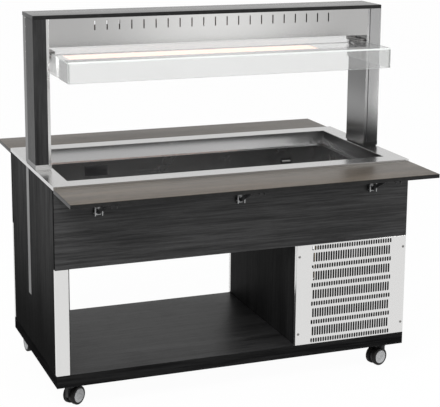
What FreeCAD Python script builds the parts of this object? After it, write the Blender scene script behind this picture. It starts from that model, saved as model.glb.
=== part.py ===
import FreeCAD, Part
import math
import os
import re
import Sketcher

# Mobile salad bar: a cooled well in a wheeled cabinet, with an open store below it,
# a machine compartment behind slotted grilles, two posts that carry a lit top box with
# a glass guard, and a tray shelf on folding brackets along each long side.
# Millimetres. X runs along the bar, -Y is the guests' side, Z is up, and the origin lies
# on the floor under the middle of the bar.

Vector = FreeCAD.Vector
Rotation = FreeCAD.Rotation
document = FreeCAD.newDocument("salad_bar")

sizes = {
    # cabinet
    "barLength": 1490,
    "barDepth": 744,
    "deckTop": 895,
    "deckSheet": 2,
    "deckRim": 15,
    "panelThick": 18,
    "edgeRound": 1.5,
    "baseThick": 50,
    "apronBottom": 572,
    "ceilingThick": 18,
    "uprightWidth": 57,
    "uprightBevel": 6,
    "joint": 1,
    "fit": 0.3,
    "runningFit": 0.05,
    "overcut": 1,
    # edge strip of the posts, seen again between the end panels
    "stripWidth": 43,
    "stripRear": 80,
    "stripBottom": 350,
    # cooled well
    "wellLength": 1342,
    "wellWidth": 584,
    "bandHeight": 60,
    "tankLength": 1300,
    "tankWidth": 530,
    "tankDepth": 140,
    "tankSheet": 2,
    "foamSide": 45,
    "foamFloor": 40,
    "coilRadius": 5,
    "coilPitch": 58,
    "coilRuns": 8,
    "coilSpan": 1100,
    "coilShift": -50,
    "drainRadius": 13,
    "drainBore": 10,
    "drainX": 575,
    "drainY": 120,
    "drainDrop": 617,
    "drainTail": 24,
    "valveDrop": 171,
    "tailRadius": 14,
    "valveRadius": 20,
    "spindleRadius": 4,
    "leverLength": 80,
    "leverWidth": 20,
    "leverThick": 6,
    # machine compartment
    "unitWidth": 495,
    "grilleSheet": 2,
    "slotPitch": 11,
    "slotWidth": 5.5,
    "slotColumns": 33,
    "slotShort": 19,
    "slotLong": 39,
    "slotGap": 10.3,
    "slotPairs": 5,
    "screwInset": 12,
    "screwRise": 47,
    "screwHead": 4.5,
    "screwShank": 2,
    "screwLength": 30,
    "condenserWidth": 300,
    "condenserHeight": 250,
    "condenserThick": 60,
    "condenserGap": 14,
    "fanRadius": 105,
    "fanHub": 24,
    "fanBlades": 5,
    "fanThick": 22,
    "fanShaft": 4,
    "bladeChord": 65,
    "bladeThick": 2,
    "bladePitch": 14,
    "shaftReach": 33,
    "motorRadius": 38,
    "motorLength": 60,
    "motorSole": 3,
    "compressorRadius": 82,
    "compressorHeight": 150,
    "compressorX": 404,
    "compressorY": 150,
    "compressorFoot": 12,
    "inletInset": 31,
    "inletRise": 94,
    "inletRadius": 14,
    "inletNeck": 9,
    "inletBore": 4.5,
    "inletFlange": 8,
    "inletLength": 34,
    # posts, top board and light box
    "barHeight": 1500,
    "boardThick": 15,
    "boardWidth": 180,
    "postWidth": 63.5,
    "postFront": -89,
    "postSheet": 3,
    "claddingSide": 4,
    "claddingFront": 5,
    "postLip": 11,
    "postGroove": 3,
    "footNeck": 5,
    "neckInset": 3,
    "footBand": 17,
    "footProud": 1.5,
    "fasciaHeight": 110,
    "fasciaSheet": 2,
    "fasciaLip": 14,
    "ventPitch": 50,
    "ventCount": 21,
    "ventWidth": 5,
    "ventHeight": 36,
    "ventDrop": 11.5,
    "panSheet": 2,
    "lampLength": 1070,
    "lampWidth": 120,
    "lampShift": -60,
    "lampBarWidth": 60,
    "lampBarHeight": 12,
    "diffuserThick": 4,
    "diffuserLap": 4,
    "diffuserEndLap": 14,
    "driverLength": 130,
    "driverWidth": 46,
    "driverHeight": 30,
    # glass guard
    "glassThick": 6,
    "glassTop": 1350,
    "glassDrop": 81,
    "glassReach": 235,
    "glassRear": 82,
    "sidePaneRear": 60,
    "glassSideGap": 12.5,
    "clampRear": 55,
    "clampLength": 130,
    "clampWidth": 26,
    "clampLeaf": 8,
    "clampDrop": 34,
    "clampBlock": 80,
    "studInset": 15,
    "studRadius": 5,
    "studHead": 8,
    "studHeadThick": 4,
    "capFromRear": 63,
    # tray shelves and their brackets
    "trayDepth": 248.5,
    "trayThick": 16,
    "trayDrop": 8,
    "trayGap": 0.5,
    "bracketCount": 3,
    "bracketPitch": 576,
    "hingeDrop": 26,
    "hingeOut": 9,
    "stayPivotDrop": 58,
    "stayPivotOut": 10,
    "stayReach": 137,
    "stayPinDrop": 14,
    "stayThick": 8,
    "stayHeight": 14,
    "wallLeafWidth": 32,
    "wallLeafDepth": 18,
    "wallLeafSheet": 4,
    "wallLeafWeb": 2,
    "wallLeafBelow": 12,
    "leafWidth": 22,
    "leafDepth": 17,
    "leafSheet": 2,
    "leafReach": 219,
    "earRadius": 6,
    "pinRadius": 3,
    "pinHead": 5,
    "pinHeadThick": 4,
    # controls
    "controlWidth": 200,
    "controlHeight": 90,
    "controlDepth": 14,
    "controlSheet": 2,
    "controlX": 300,
    "controlZ": 700,
    "knobRadius": 17,
    "knobLength": 12,
    "knobGripWidth": 7,
    "knobGripLength": 31,
    "knobGripHeight": 3,
    "knobFromEnd": 40,
    "rockerWidth": 14,
    "rockerHeight": 22,
    "rockerProud": 3.5,
    "rockerBody": 8.5,
    "rockerTilt": 7,
    "rockerPitch": 30,
    # casters
    "casterHeight": 100,
    "wheelRadius": 37.5,
    "wheelWidth": 18.5,
    "tyreRound": 3.8,
    "hubRadius": 28,
    "discFit": 0.03,
    "hubProud": 1.5,
    "twinGap": 16,
    "casterTrail": 27,
    "casterInset": 65,
    "casterPlate": 62,
    "casterPlateThick": 4,
    "swivelRadius": 22,
    "swivelHeight": 9,
    "webRadius": 30,
    "webClear": 1,
    "neckRadius": 19,
    "neckBehind": 17,
    "bossLift": 1.5,
    "hoodOffset": 15,
    "hoodThick": 3,
    "axleRadius": 4,
    "axleShort": 4.5,
    "frontLeftTurn": 35.6,
    "frontRightTurn": 197.3,
    "rearLeftTurn": 95,
    "rearRightTurn": 152,
}

sheet = document.addObject("Spreadsheet::Sheet", "Sizes")
for row, (alias, number) in enumerate(sizes.items(), start=1):
    sheet.set("A%d" % row, alias)
    sheet.set("B%d" % row, str(number))
    sheet.setAlias("B%d" % row, alias)
document.recompute()


def size(alias):
    return float(sheet.get(alias))


def cells(expression):
    """An expression in plain size names, with each name pointing at its cell."""
    def pointed(word):
        return "Sizes." + word.group() if word.group() in sizes else word.group()

    return re.sub(r"[A-Za-z]\w*", pointed, str(expression))


# Levels and lines that several pieces share, as expressions of the driving sizes.
endX = "(barLength / 2)"
faceY = "(barDepth / 2)"
baseBottom = "casterHeight"
baseTop = "(casterHeight + baseThick)"
panelTop = "(deckTop - deckRim)"
innerFaceY = "(barDepth / 2 - panelThick)"
bandBottom = "(deckTop - bandHeight)"
ledgeUnder = "(deckTop - bandHeight - tankSheet)"
tankBottom = "(deckTop - bandHeight - tankSheet - tankDepth)"
foamPocket = "(deckTop - bandHeight - tankSheet - tankDepth - 2 * coilRadius - 2 * fit)"
foamBottom = "(%s - foamFloor)" % foamPocket
ceilingBottom = "(%s - ceilingThick)" % foamBottom
unitX = "(barLength / 2 - unitWidth)"
boardBottom = "(barHeight - boardThick)"
postInnerX = "(barLength / 2 - postWidth)"
fasciaBottom = "(barHeight - boardThick - fasciaHeight)"
boardY = "(boardWidth / 2)"
panUnder = "(barHeight - boardThick - fasciaHeight + fasciaSheet)"
panTop = "(barHeight - boardThick - fasciaHeight + fasciaSheet + panSheet)"
glassX = "(barLength / 2 - postWidth - glassSideGap)"
glassFrontY = "(-boardWidth / 2 - glassReach)"
glassUnder = "(glassTop - glassThick)"
trayTop = "(deckTop - trayDrop)"
trayUnder = "(deckTop - trayDrop - trayThick)"
hingeZ = "(deckTop - trayDrop - trayThick - hingeDrop)"
hingeY = "(-barDepth / 2 - hingeOut)"
stayY = "(-barDepth / 2 - stayPivotOut)"
stayZ = "(deckTop - trayDrop - trayThick - hingeDrop - stayPivotDrop)"
inletX = "(barLength / 2 - inletInset)"
inletZ = "(casterHeight + baseThick + inletRise)"
controlFace = "(barDepth / 2 + controlDepth)"
knobX = "(controlX + controlWidth / 2 - knobFromEnd)"

nodes = []


def keep(name, piece):
    """Marks a finished piece as a sub-part of its own and names it."""
    piece.Label = name
    nodes.append(piece)
    return piece


def bind(piece, **bound):
    for field, expression in bound.items():
        piece.setExpression(field.replace("_", "."), cells(expression))
    return piece


def place(piece, x=0, y=0, z=0):
    return bind(piece, Placement_Base_x=x, Placement_Base_y=y, Placement_Base_z=z)


def block(name, x, y, z):
    """A box between two expressions along each axis."""
    piece = document.addObject("Part::Box", name)
    bind(piece, Length="%s - (%s)" % (x[1], x[0]))
    bind(piece, Width="%s - (%s)" % (y[1], y[0]))
    bind(piece, Height="%s - (%s)" % (z[1], z[0]))
    return place(piece, x[0], y[0], z[0])


def rod(name, radius, length, along, x, y, z):
    """A cylinder that starts at a point and runs towards +X, +Y or +Z."""
    piece = document.addObject("Part::Cylinder", name)
    bind(piece, Radius=radius, Height=length)
    turn = {"x": Rotation(Vector(0, 1, 0), 90), "y": Rotation(Vector(1, 0, 0), -90), "z": Rotation()}
    piece.Placement = FreeCAD.Placement(Vector(), turn[along])
    return place(piece, x, y, z)


def cut(name, base, *tools):
    piece = document.addObject("Part::Cut", name)
    piece.Base = base
    piece.Tool = tools[0] if len(tools) == 1 else join(name + "Tools", *tools)
    return piece


def join(name, *pieces):
    piece = document.addObject("Part::MultiFuse", name)
    piece.Shapes = list(pieces)
    piece.Refine = True
    return piece


def group(name, pieces):
    """Equal pieces that share one node, each still a solid of its own."""
    piece = document.addObject("Part::Compound", name)
    piece.Links = list(pieces)
    return piece


def mirrored(name, source, normal):
    piece = document.addObject("Part::Mirroring", name)
    piece.Source = source
    piece.Normal = normal
    return piece


def originPlane(body, role):
    return [plane for plane in body.Origin.OriginFeatures if plane.Role == role][0]


def outlineSketch(body, name, role, corners, lengths):
    """A closed outline of level and upright lines, held by named lengths.

    Each length is a name, its direction, two points as (line, end) and the expression behind it.
    """
    sketch = body.newObject("Sketcher::SketchObject", name)
    sketch.AttachmentSupport = [(originPlane(body, role), "")]
    sketch.MapMode = "FlatFace"
    count = len(corners)
    for index in range(count):
        following = corners[(index + 1) % count]
        sketch.addGeometry(Part.LineSegment(Vector(*corners[index]), Vector(*following)), False)
    for index in range(count):
        sketch.addConstraint(Sketcher.Constraint("Coincident", index, 2, (index + 1) % count, 1))
        sketch.addConstraint(Sketcher.Constraint("Horizontal" if index % 2 == 0 else "Vertical", index))
    for label, direction, first, second, guess, expression in lengths:
        number = sketch.addConstraint(Sketcher.Constraint(direction, *first, *second, guess))
        sketch.renameConstraint(number, label)
        sketch.setExpression("Constraints." + label, cells(expression))
    return sketch


def board(name, x, y, z):
    """A board with eased edges: a padded rectangle, then a fillet along every edge."""
    body = document.addObject("PartDesign::Body", name)
    across = "%s - (%s)" % (x[1], x[0])
    deep = "%s - (%s)" % (y[1], y[0])
    sketch = outlineSketch(body, name + "Outline", "XY_Plane", [(0, 0), (100, 0), (100, 50), (0, 50)], [
        ("across", "DistanceX", (0, 1), (0, 2), 100, across),
        ("deep", "DistanceY", (1, 1), (1, 2), 50, deep)])
    sketch.addConstraint(Sketcher.Constraint("Coincident", 0, 1, -1, 1))
    pad = body.newObject("PartDesign::Pad", name + "Pad")
    pad.Profile = sketch
    bind(pad, Length="%s - (%s)" % (z[1], z[0]))
    document.recompute()
    fillet = body.newObject("PartDesign::Fillet", name + "Eased")
    fillet.Base = (pad, ["Edge%d" % (index + 1) for index in range(len(pad.Shape.Edges))])
    bind(fillet, Radius="edgeRound")
    body.Tip = fillet
    return place(body, x[0], y[0], z[0])


def shaped(name, shape):
    """A piece whose form is worked out in code from the sheet's sizes."""
    piece = document.addObject("Part::Feature", name)
    piece.Shape = shape
    return piece


# ---- cabinet -------------------------------------------------------------------------

def buildCabinet():
    base = board("baseBoardPlain", ("-" + endX, endX), ("-" + faceY, faceY), (baseBottom, baseTop))
    baseHole = rod("baseDrainHole", "tailRadius + joint", "baseThick + 2 * overcut", "z", "drainX", "drainY",
                   baseBottom + " - overcut")
    keep("base_board", cut("baseBoard", base, baseHole))
    ceiling = block("ceilingPlain", ("-%s + panelThick" % endX, "%s - panelThick" % endX),
                    ("-" + innerFaceY, innerFaceY), (ceilingBottom, foamBottom))
    pipeHole = rod("ceilingPipeHole", "drainRadius + joint", "2 * ceilingThick", "z", "drainX", "drainY",
                   ceilingBottom + " - overcut")
    keep("ceiling_board", cut("ceilingBoard", ceiling, pipeHole))
    for name, y in (("front", ("-" + faceY, "-" + innerFaceY)), ("rear", (innerFaceY, faceY))):
        keep(name + "_apron", board(name + "Apron", ("-" + endX, endX), y, ("apronBottom", panelTop)))

    # Each end is closed by a front and a rear panel; the post's steel strip shows between them,
    # and below the strip the front panel runs on to meet the rear one at a fine joint.
    stripFront = "(stripRear - stripWidth)"
    inner = "%s - panelThick" % endX
    fronts = []
    rears = []
    for side, name in ((-1, "left"), (1, "right")):
        x = (inner, endX) if side > 0 else ("-" + endX, "-(%s)" % inner)
        tall = block(name + "PanelTall", x, ("-" + innerFaceY, stripFront), (baseTop, panelTop))
        low = block(name + "PanelLow", x, ("-" + innerFaceY, "stripRear - joint"), (baseTop, "stripBottom"))
        front = join(name + "PanelFront", tall, low)
        back = block(name + "PanelRear", x, ("stripRear", innerFaceY), (baseTop, panelTop))
        if side > 0:
            front = cut("rightPanelFrontBored", front, *screwHoles("rightFrontBore", -1, True))
            back = cut("rightPanelRearBored", back, *screwHoles("rightRearBore", 1, True))
        fronts.append(front)
        rears.append(back)
    keep("end_panels_front", group("endPanelsFront", fronts))
    keep("end_panels_rear", group("endPanelsRear", rears))
    strips = []
    for side, name in ((-1, "left"), (1, "right")):
        x = (inner, endX) if side > 0 else ("-" + endX, "-(%s)" % inner)
        strips.append(block(name + "Strip", x, (stripFront, "stripRear"), ("stripBottom", panelTop)))
    keep("end_strips", group("endStrips", strips))

    # Steel covers on the two corners of the open store, bevelled along the inner front edge.
    uprights = []
    for side, name in ((-1, "front"), (1, "rear")):
        y = ("-" + faceY, "-" + innerFaceY) if side < 0 else (innerFaceY, faceY)
        cover = block(name + "Upright", ("-" + endX, "-%s + uprightWidth" % endX), y,
                      (baseTop, "apronBottom"))
        document.recompute()
        bevel = document.addObject("Part::Chamfer", name + "UprightBevelled")
        bevel.Base = cover
        middleZ = (size("casterHeight") + size("baseThick") + size("apronBottom")) / 2
        edge = edgeNear(cover.Shape, Vector(-size("barLength") / 2 + size("uprightWidth"),
                                            side * size("barDepth") / 2, middleZ))
        bevel.Edges = [(edge, size("uprightBevel"), size("uprightBevel"))]
        uprights.append(bevel)
    keep("corner_uprights", group("cornerUprights", uprights))

    divider = board("divider", (unitX, unitX + " + panelThick"), ("-" + innerFaceY, innerFaceY),
                    (baseTop, ceilingBottom))
    bores = screwHoles("dividerFrontBore", -1, False) + screwHoles("dividerRearBore", 1, False)
    keep("divider_panel", cut("dividerBored", divider, *bores))


def edgeNear(shape, point):
    """The number of the edge whose middle lies nearest to a point."""
    distances = [edge.CenterOfMass.distanceToPoint(point) for edge in shape.Edges]
    return distances.index(min(distances)) + 1


# ---- grilles and their screws ----------------------------------------------------------

def screwSpots():
    """Places of a grille's four screws, as pairs of X and Z expressions."""
    low = baseTop + " + screwRise"
    high = "apronBottom - screwRise"
    left = unitX + " + screwInset"
    right = endX + " - screwInset"
    return [(left, low), (left, high), (right, low), (right, high)]


def screwHoles(name, side, rightHand):
    """The bores for the screws in the panel edge behind a grille."""
    spots = screwSpots()[2:] if rightHand else screwSpots()[:2]
    start = "-%s" % faceY if side < 0 else "%s - screwLength - fit" % faceY
    holes = []
    for index, (x, z) in enumerate(spots):
        holes.append(rod("%s%d" % (name, index), "screwShank + fit / 2", "screwLength + fit", "y", x,
                         start, z))
    return holes


def grillePlate():
    """The slotted face of a grille: rows of short and long slots, each row half a pitch on."""
    left = size("barLength") / 2 - size("unitWidth")
    right = size("barLength") / 2
    bottom = size("casterHeight") + size("baseThick")
    top = size("apronBottom")
    outline = rectangleWire(left, right, bottom, top)
    holes = []
    rows = 2 * int(size("slotPairs")) + 1
    shortRows = int(size("slotPairs")) + 1
    longRows = int(size("slotPairs"))
    fieldHeight = shortRows * size("slotShort") + longRows * size("slotLong") + (rows - 1) * size("slotGap")
    level = (top + bottom) / 2 + fieldHeight / 2
    fieldWidth = (size("slotColumns") - 1) * size("slotPitch") + size("slotWidth")
    firstX = (left + right) / 2 - fieldWidth / 2
    for row in range(rows):
        isLong = row % 2 == 1
        height = size("slotLong") if isLong else size("slotShort")
        columns = int(size("slotColumns")) - (1 if isLong else 0)
        start = firstX + (size("slotPitch") / 2 if isLong else 0)
        for column in range(columns):
            x = start + column * size("slotPitch")
            holes.append(rectangleWire(x, x + size("slotWidth"), level - height, level))
        level -= height + size("slotGap")
    for x in (left + size("screwInset"), right - size("screwInset")):
        for z in (bottom + size("screwRise"), top - size("screwRise")):
            circle = Part.Circle(Vector(x, 0, z), Vector(0, 1, 0), size("screwShank") + size("fit") / 2)
            holes.append(Part.Wire(circle.toShape()))
    face = Part.makeFace([outline] + holes, "Part::FaceMakerBullseye")
    return face.extrude(Vector(0, size("grilleSheet"), 0))


def rectangleWire(left, right, bottom, top):
    corners = [Vector(left, 0, bottom), Vector(right, 0, bottom), Vector(right, 0, top), Vector(left, 0, top)]
    return Part.makePolygon(corners + [corners[0]])


def buildGrilles():
    """Each grille is a slotted plate with a folded rim that stands on the panels behind it."""
    left = size("barLength") / 2 - size("unitWidth")
    right = size("barLength") / 2
    bottom = size("casterHeight") + size("baseThick")
    top = size("apronBottom")
    sheetThick = size("grilleSheet")
    plate = grillePlate()
    depth = size("panelThick") - sheetThick
    frame = Part.makeBox(right - left, depth, top - bottom, Vector(left, sheetThick, bottom))
    hollow = Part.makeBox(right - left - 2 * sheetThick, depth, top - bottom - 2 * sheetThick,
                          Vector(left + sheetThick, sheetThick, bottom + sheetThick))
    shape = plate.fuse(frame.cut(hollow)).removeSplitter()
    front = shaped("frontGrille", shape)
    place(front, 0, "-" + faceY, 0)
    keep("front_grille", front)
    rear = mirrored("rearGrillePlain", front, Vector(0, 1, 0))
    leadHole = rod("leadHole", "inletBore + joint", "3 * grilleSheet", "y", inletX,
                   faceY + " - 2 * grilleSheet", inletZ)
    keep("rear_grille", cut("rearGrille", rear, leadHole))

    screws = []
    for index, (x, z) in enumerate(screwSpots()):
        head = rod("screwHead%d" % index, "screwHead", "screwShank", "y", x, "-%s - screwShank" % faceY, z)
        shank = rod("screwShank%d" % index, "screwShank", "screwLength", "y", x, "-" + faceY, z)
        screws.append(join("frontScrew%d" % index, head, shank))
    rear = [mirrored("rearScrew%d" % index, screw, Vector(0, 1, 0)) for index, screw in enumerate(screws)]
    keep("grille_screws", group("grilleScrews", screws + rear))


# ---- deck and cooled well --------------------------------------------------------------

def buildWell():
    wellX = "(wellLength / 2)"
    wellY = "(wellWidth / 2)"
    plate = block("deckPlate", ("-" + endX, endX), ("-" + faceY, faceY), ("deckTop - deckRim", "deckTop"))
    under = block("deckUnder", ("-%s + deckSheet" % endX, "%s - deckSheet" % endX),
                  ("-%s + deckSheet" % faceY, "%s - deckSheet" % faceY),
                  ("deckTop - deckRim - overcut", "deckTop - deckSheet"))
    mouth = block("deckMouth", ("-%s" % wellX, wellX), ("-%s" % wellY, wellY),
                  ("deckTop - deckRim - overcut", "deckTop + overcut"))
    keep("deck_frame", cut("deckFrame", plate, under, mouth))

    tankX = "(tankLength / 2)"
    tankY = "(tankWidth / 2)"
    outerX = wellX + " + tankSheet"
    outerY = wellY + " + tankSheet"
    collar = block("collarOuter", ("-(%s)" % outerX, outerX), ("-(%s)" % outerY, outerY),
                   (ledgeUnder, "deckTop - deckSheet"))
    throat = block("collarThroat", ("-%s" % wellX, wellX), ("-%s" % wellY, wellY), (bandBottom, "deckTop"))
    hole = block("collarHole", ("-%s" % tankX, tankX), ("-%s" % tankY, tankY),
                 (ledgeUnder + " - overcut", "deckTop"))
    keep("well_collar", cut("wellCollar", collar, throat, hole))

    wallX = tankX + " + tankSheet"
    wallY = tankY + " + tankSheet"
    # The tank is welded up from five plates: a floor with the outlet in it and four walls on top.
    wallZ = (tankBottom + " + tankSheet", ledgeUnder)
    floorPlate = block("tankFloorPlain", ("-(%s)" % wallX, wallX), ("-(%s)" % wallY, wallY),
                       (tankBottom, tankBottom + " + tankSheet"))
    outlet = rod("tankOutlet", "drainBore", "4 * tankSheet", "z", "drainX", "drainY",
                 tankBottom + " - tankSheet")
    frontWall = block("tankFrontWall", ("-(%s)" % wallX, wallX), ("-(%s)" % wallY, "-" + tankY), wallZ)
    rearWall = block("tankRearWall", ("-(%s)" % wallX, wallX), (tankY, wallY), wallZ)
    leftWall = block("tankLeftWall", ("-(%s)" % wallX, "-" + tankX), ("-" + tankY, tankY), wallZ)
    rightWall = block("tankRightWall", (tankX, wallX), ("-" + tankY, tankY), wallZ)
    floor = cut("tankFloor", floorPlate, outlet)
    keep("well_tank", group("wellTank", [floor, frontWall, rearWall, leftWall, rightWall]))

    foam = block("foamBlock", ("-(%s + foamSide)" % wallX, wallX + " + foamSide"),
                 ("-(%s + foamSide)" % wallY, wallY + " + foamSide"), (foamBottom, ledgeUnder + " - fit"))
    cavity = block("foamCavity", ("-(%s + fit)" % wallX, wallX + " + fit"),
                   ("-(%s + fit)" % wallY, wallY + " + fit"), (foamPocket, "deckTop"))
    pipeHole = rod("foamPipeHole", "drainRadius + fit", "2 * foamFloor", "z", "drainX", "drainY",
                   foamBottom + " - overcut")
    keep("insulation", cut("insulationJacket", foam, cavity, pipeHole))

    keep("evaporator_coil", place(shaped("evaporatorCoil", coilShape()), "coilShift", 0,
                                  tankBottom + " - coilRadius"))

    # The drain runs down from the tank's outlet through a ball valve and the base to a tail for a hose.
    drainEnd = "(%s - drainDrop)" % tankBottom
    valveZ = "(%s - valveDrop)" % tankBottom
    leverY = "(drainY - 2 * valveRadius)"
    pipe = rod("drainTube", "drainRadius", "drainDrop", "z", "drainX", "drainY", drainEnd)
    tail = rod("drainTailRing", "tailRadius", "drainTail", "z", "drainX", "drainY", drainEnd)
    valve = rod("drainValve", "valveRadius", "2 * valveRadius", "y", "drainX", "drainY - valveRadius", valveZ)
    spindle = rod("drainSpindle", "spindleRadius", "valveRadius", "y", "drainX", leverY, valveZ)
    bore = rod("drainBoreTool", "drainBore", "drainDrop + 2 * overcut", "z", "drainX", "drainY",
               drainEnd + " - overcut")
    keep("drain_pipe", cut("drainPipe", join("drainBody", pipe, tail, valve, spindle), bore))
    bar = block("leverBar", ("drainX", "drainX + leverLength"),
                (leverY + " - leverThick / 2", leverY + " + leverThick / 2"),
                (valveZ + " - leverWidth / 2", valveZ + " + leverWidth / 2"))
    hub = rod("leverHub", "leverWidth / 2", "valveRadius + leverThick / 2 - fit", "y", "drainX",
              leverY + " - leverThick / 2", valveZ)
    hubBore = rod("leverBore", "spindleRadius + runningFit", "2 * valveRadius", "y", "drainX", leverY, valveZ)
    keep("drain_lever", cut("drainLever", join("leverBody", bar, hub), hubBore))


def coilShape():
    """A flat serpentine of tube under the tank: straight runs joined by half turns."""
    radius = size("coilRadius")
    pitch = size("coilPitch")
    runs = int(size("coilRuns"))
    half = size("coilSpan") / 2
    y = -(runs - 1) * pitch / 2
    direction = 1
    edges = []
    for run in range(runs):
        start = Vector(-direction * half, y, 0)
        end = Vector(direction * half, y, 0)
        edges.append(Part.LineSegment(start, end).toShape())
        if run < runs - 1:
            middle = Vector(direction * (half + pitch / 2), y + pitch / 2, 0)
            edges.append(Part.Arc(end, middle, Vector(direction * half, y + pitch, 0)).toShape())
        y += pitch
        direction = -direction
    path = Part.Wire(edges)
    circle = Part.Circle(Vector(-half, -(runs - 1) * pitch / 2, 0), Vector(1, 0, 0), radius)
    tube = path.makePipeShell([Part.Wire(circle.toShape())], True, False)
    swept = tube.Volume / (math.pi * radius ** 2 * path.Length)
    print("evaporator coil volume / (section x length): %.4f" % swept)
    return tube


# ---- machine compartment -----------------------------------------------------------------

def buildMachine():
    unitMiddle = "(barLength / 2 - unitWidth / 2)"
    condenserFront = "(-%s + condenserGap)" % innerFaceY
    condenser = block("condenserBlock",
                      (unitMiddle + " - condenserWidth / 2", unitMiddle + " + condenserWidth / 2"),
                      (condenserFront, condenserFront + " + condenserThick"),
                      (baseTop, baseTop + " + condenserHeight"))
    keep("condenser", condenser)

    # The fan stands behind the condenser, its motor on a foot that rests on the base board.
    fanZ = "(%s + condenserHeight / 2)" % baseTop
    fanY = "(%s + condenserThick + fanThick)" % condenserFront
    motorY = "(%s + condenserThick + 2 * fanThick + fanShaft)" % condenserFront
    motor = rod("motorCan", "motorRadius", "motorLength", "y", unitMiddle, motorY, fanZ)
    shaft = rod("motorShaft", "fanShaft", "shaftReach", "y", unitMiddle, motorY + " - shaftReach", fanZ)
    foot = block("motorFoot", (unitMiddle + " - motorRadius / 2", unitMiddle + " + motorRadius / 2"),
                 (motorY + " + motorLength / 4", motorY + " + motorLength * 3 / 4"), (baseTop, fanZ))
    sole = block("motorSole", (unitMiddle + " - motorRadius", unitMiddle + " + motorRadius"),
                 (motorY, motorY + " + motorLength"), (baseTop, baseTop + " + motorSole"))
    keep("fan_motor", join("fanMotor", motor, shaft, foot, sole))
    keep("fan_blade", place(shaped("fanBlade", fanShape()), unitMiddle, fanY, fanZ))

    can = rod("compressorCan", "compressorRadius", "compressorHeight - compressorRadius / 2", "z",
              "compressorX", "compressorY", baseTop + " + compressorFoot")
    dome = document.addObject("Part::Ellipsoid", "compressorDome")
    bind(dome, Radius1="compressorRadius / 2", Radius2="compressorRadius", Radius3="compressorRadius")
    place(dome, "compressorX", "compressorY",
          baseTop + " + compressorFoot + compressorHeight - compressorRadius / 2")
    feet = block("compressorFeet", ("compressorX - compressorRadius", "compressorX + compressorRadius"),
                 ("compressorY - compressorRadius", "compressorY + compressorRadius"),
                 (baseTop, baseTop + " + compressorFoot"))
    keep("compressor", join("compressorBody", can, dome, feet))


def fanShape():
    """A fan wheel about the Y axis: a hub with pitched blades and a bore for the motor's shaft."""
    hubRadius = size("fanHub")
    thick = size("fanThick")
    hub = Part.makeCylinder(hubRadius, thick, Vector(0, -thick / 2, 0), Vector(0, 1, 0))
    chord = size("bladeChord")
    bladeThick = size("bladeThick")
    blades = []
    for index in range(int(size("fanBlades"))):
        blade = Part.makeBox(size("fanRadius") - hubRadius / 2, bladeThick, chord,
                             Vector(hubRadius / 2, -bladeThick / 2, -chord / 2))
        blade.rotate(Vector(), Vector(1, 0, 0), size("bladePitch"))
        blade.rotate(Vector(), Vector(0, 1, 0), 360 / size("fanBlades") * index)
        blades.append(blade)
    disc = Part.makeCylinder(size("fanRadius"), thick, Vector(0, -thick / 2, 0), Vector(0, 1, 0))
    bore = Part.makeCylinder(size("fanShaft") + size("runningFit"), thick, Vector(0, -thick / 2, 0),
                             Vector(0, 1, 0))
    return hub.fuse(blades).common(disc).cut(bore).removeSplitter()


# ---- posts ---------------------------------------------------------------------------------

def buildPosts():
    """Steel box posts on a foot band; the left one is clad in laminate, the right one is bare."""
    for side, name in ((-1, "left"), (1, "right")):
        def across(near, far):
            """From a distance inside the post's outer face to another, for this side."""
            if side > 0:
                return ("%s - (%s)" % (endX, far), "%s - (%s)" % (endX, near))
            return ("-%s + %s" % (endX, near), "-%s + %s" % (endX, far))

        sideInset = "claddingSide" if side < 0 else "0"
        frontInset = "claddingFront" if side < 0 else "0"
        neckTop = "(deckTop + footNeck)"
        bandTop = "(deckTop + footNeck + footBand)"
        rearFace = "(stripRear - joint / 2)"
        tube = block(name + "Tube", across(sideInset, "postWidth"), ("postFront + " + frontInset, rearFace),
                     (bandTop, boardBottom))
        neck = block(name + "Neck", across("neckInset", "postWidth - neckInset"),
                     ("postFront + neckInset", "stripRear - neckInset"), ("deckTop", neckTop))
        band = block(name + "Band", across("0", "postWidth + footProud"),
                     ("postFront - footProud", "stripRear"), (neckTop, bandTop))
        pieces = [tube, neck, band]
        if side < 0:
            pieces.append(block(name + "Lip", across("postWidth - postLip", "postWidth"),
                                ("postFront", "postFront + claddingFront"), (bandTop, boardBottom)))
            pieces.append(block(name + "Rear", across("0", "claddingSide"),
                                ("stripRear - stripWidth", rearFace), (bandTop, boardBottom)))
        body = join(name + "PostBody", *pieces)
        duct = block(name + "Duct", across("claddingSide + postSheet", "postWidth - postSheet"),
                     ("postFront + claddingFront + postSheet", rearFace + " - postSheet"),
                     ("deckTop - overcut", boardBottom + " + overcut"))
        tools = [duct]
        if side > 0:
            groove = across("postWidth - postLip - postGroove", "postWidth - postLip")
            tools.append(block(name + "Groove", groove, ("postFront - overcut", "postFront + postGroove"),
                               (bandTop, boardBottom + " + overcut")))
        keep(name + "_post", cut(name + "Post", body, *tools))
        if side < 0:
            sideLeaf = block("claddingSideLeaf", across("0", "claddingSide"),
                             ("postFront", "stripRear - stripWidth"), (bandTop, boardBottom))
            frontLeaf = block("claddingFrontLeaf", across("0", "postWidth - postLip"),
                              ("postFront", "postFront + claddingFront"), (bandTop, boardBottom))
            keep("left_post_cladding", join("leftCladding", sideLeaf, frontLeaf))


# ---- top board and light box -----------------------------------------------------------------

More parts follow.
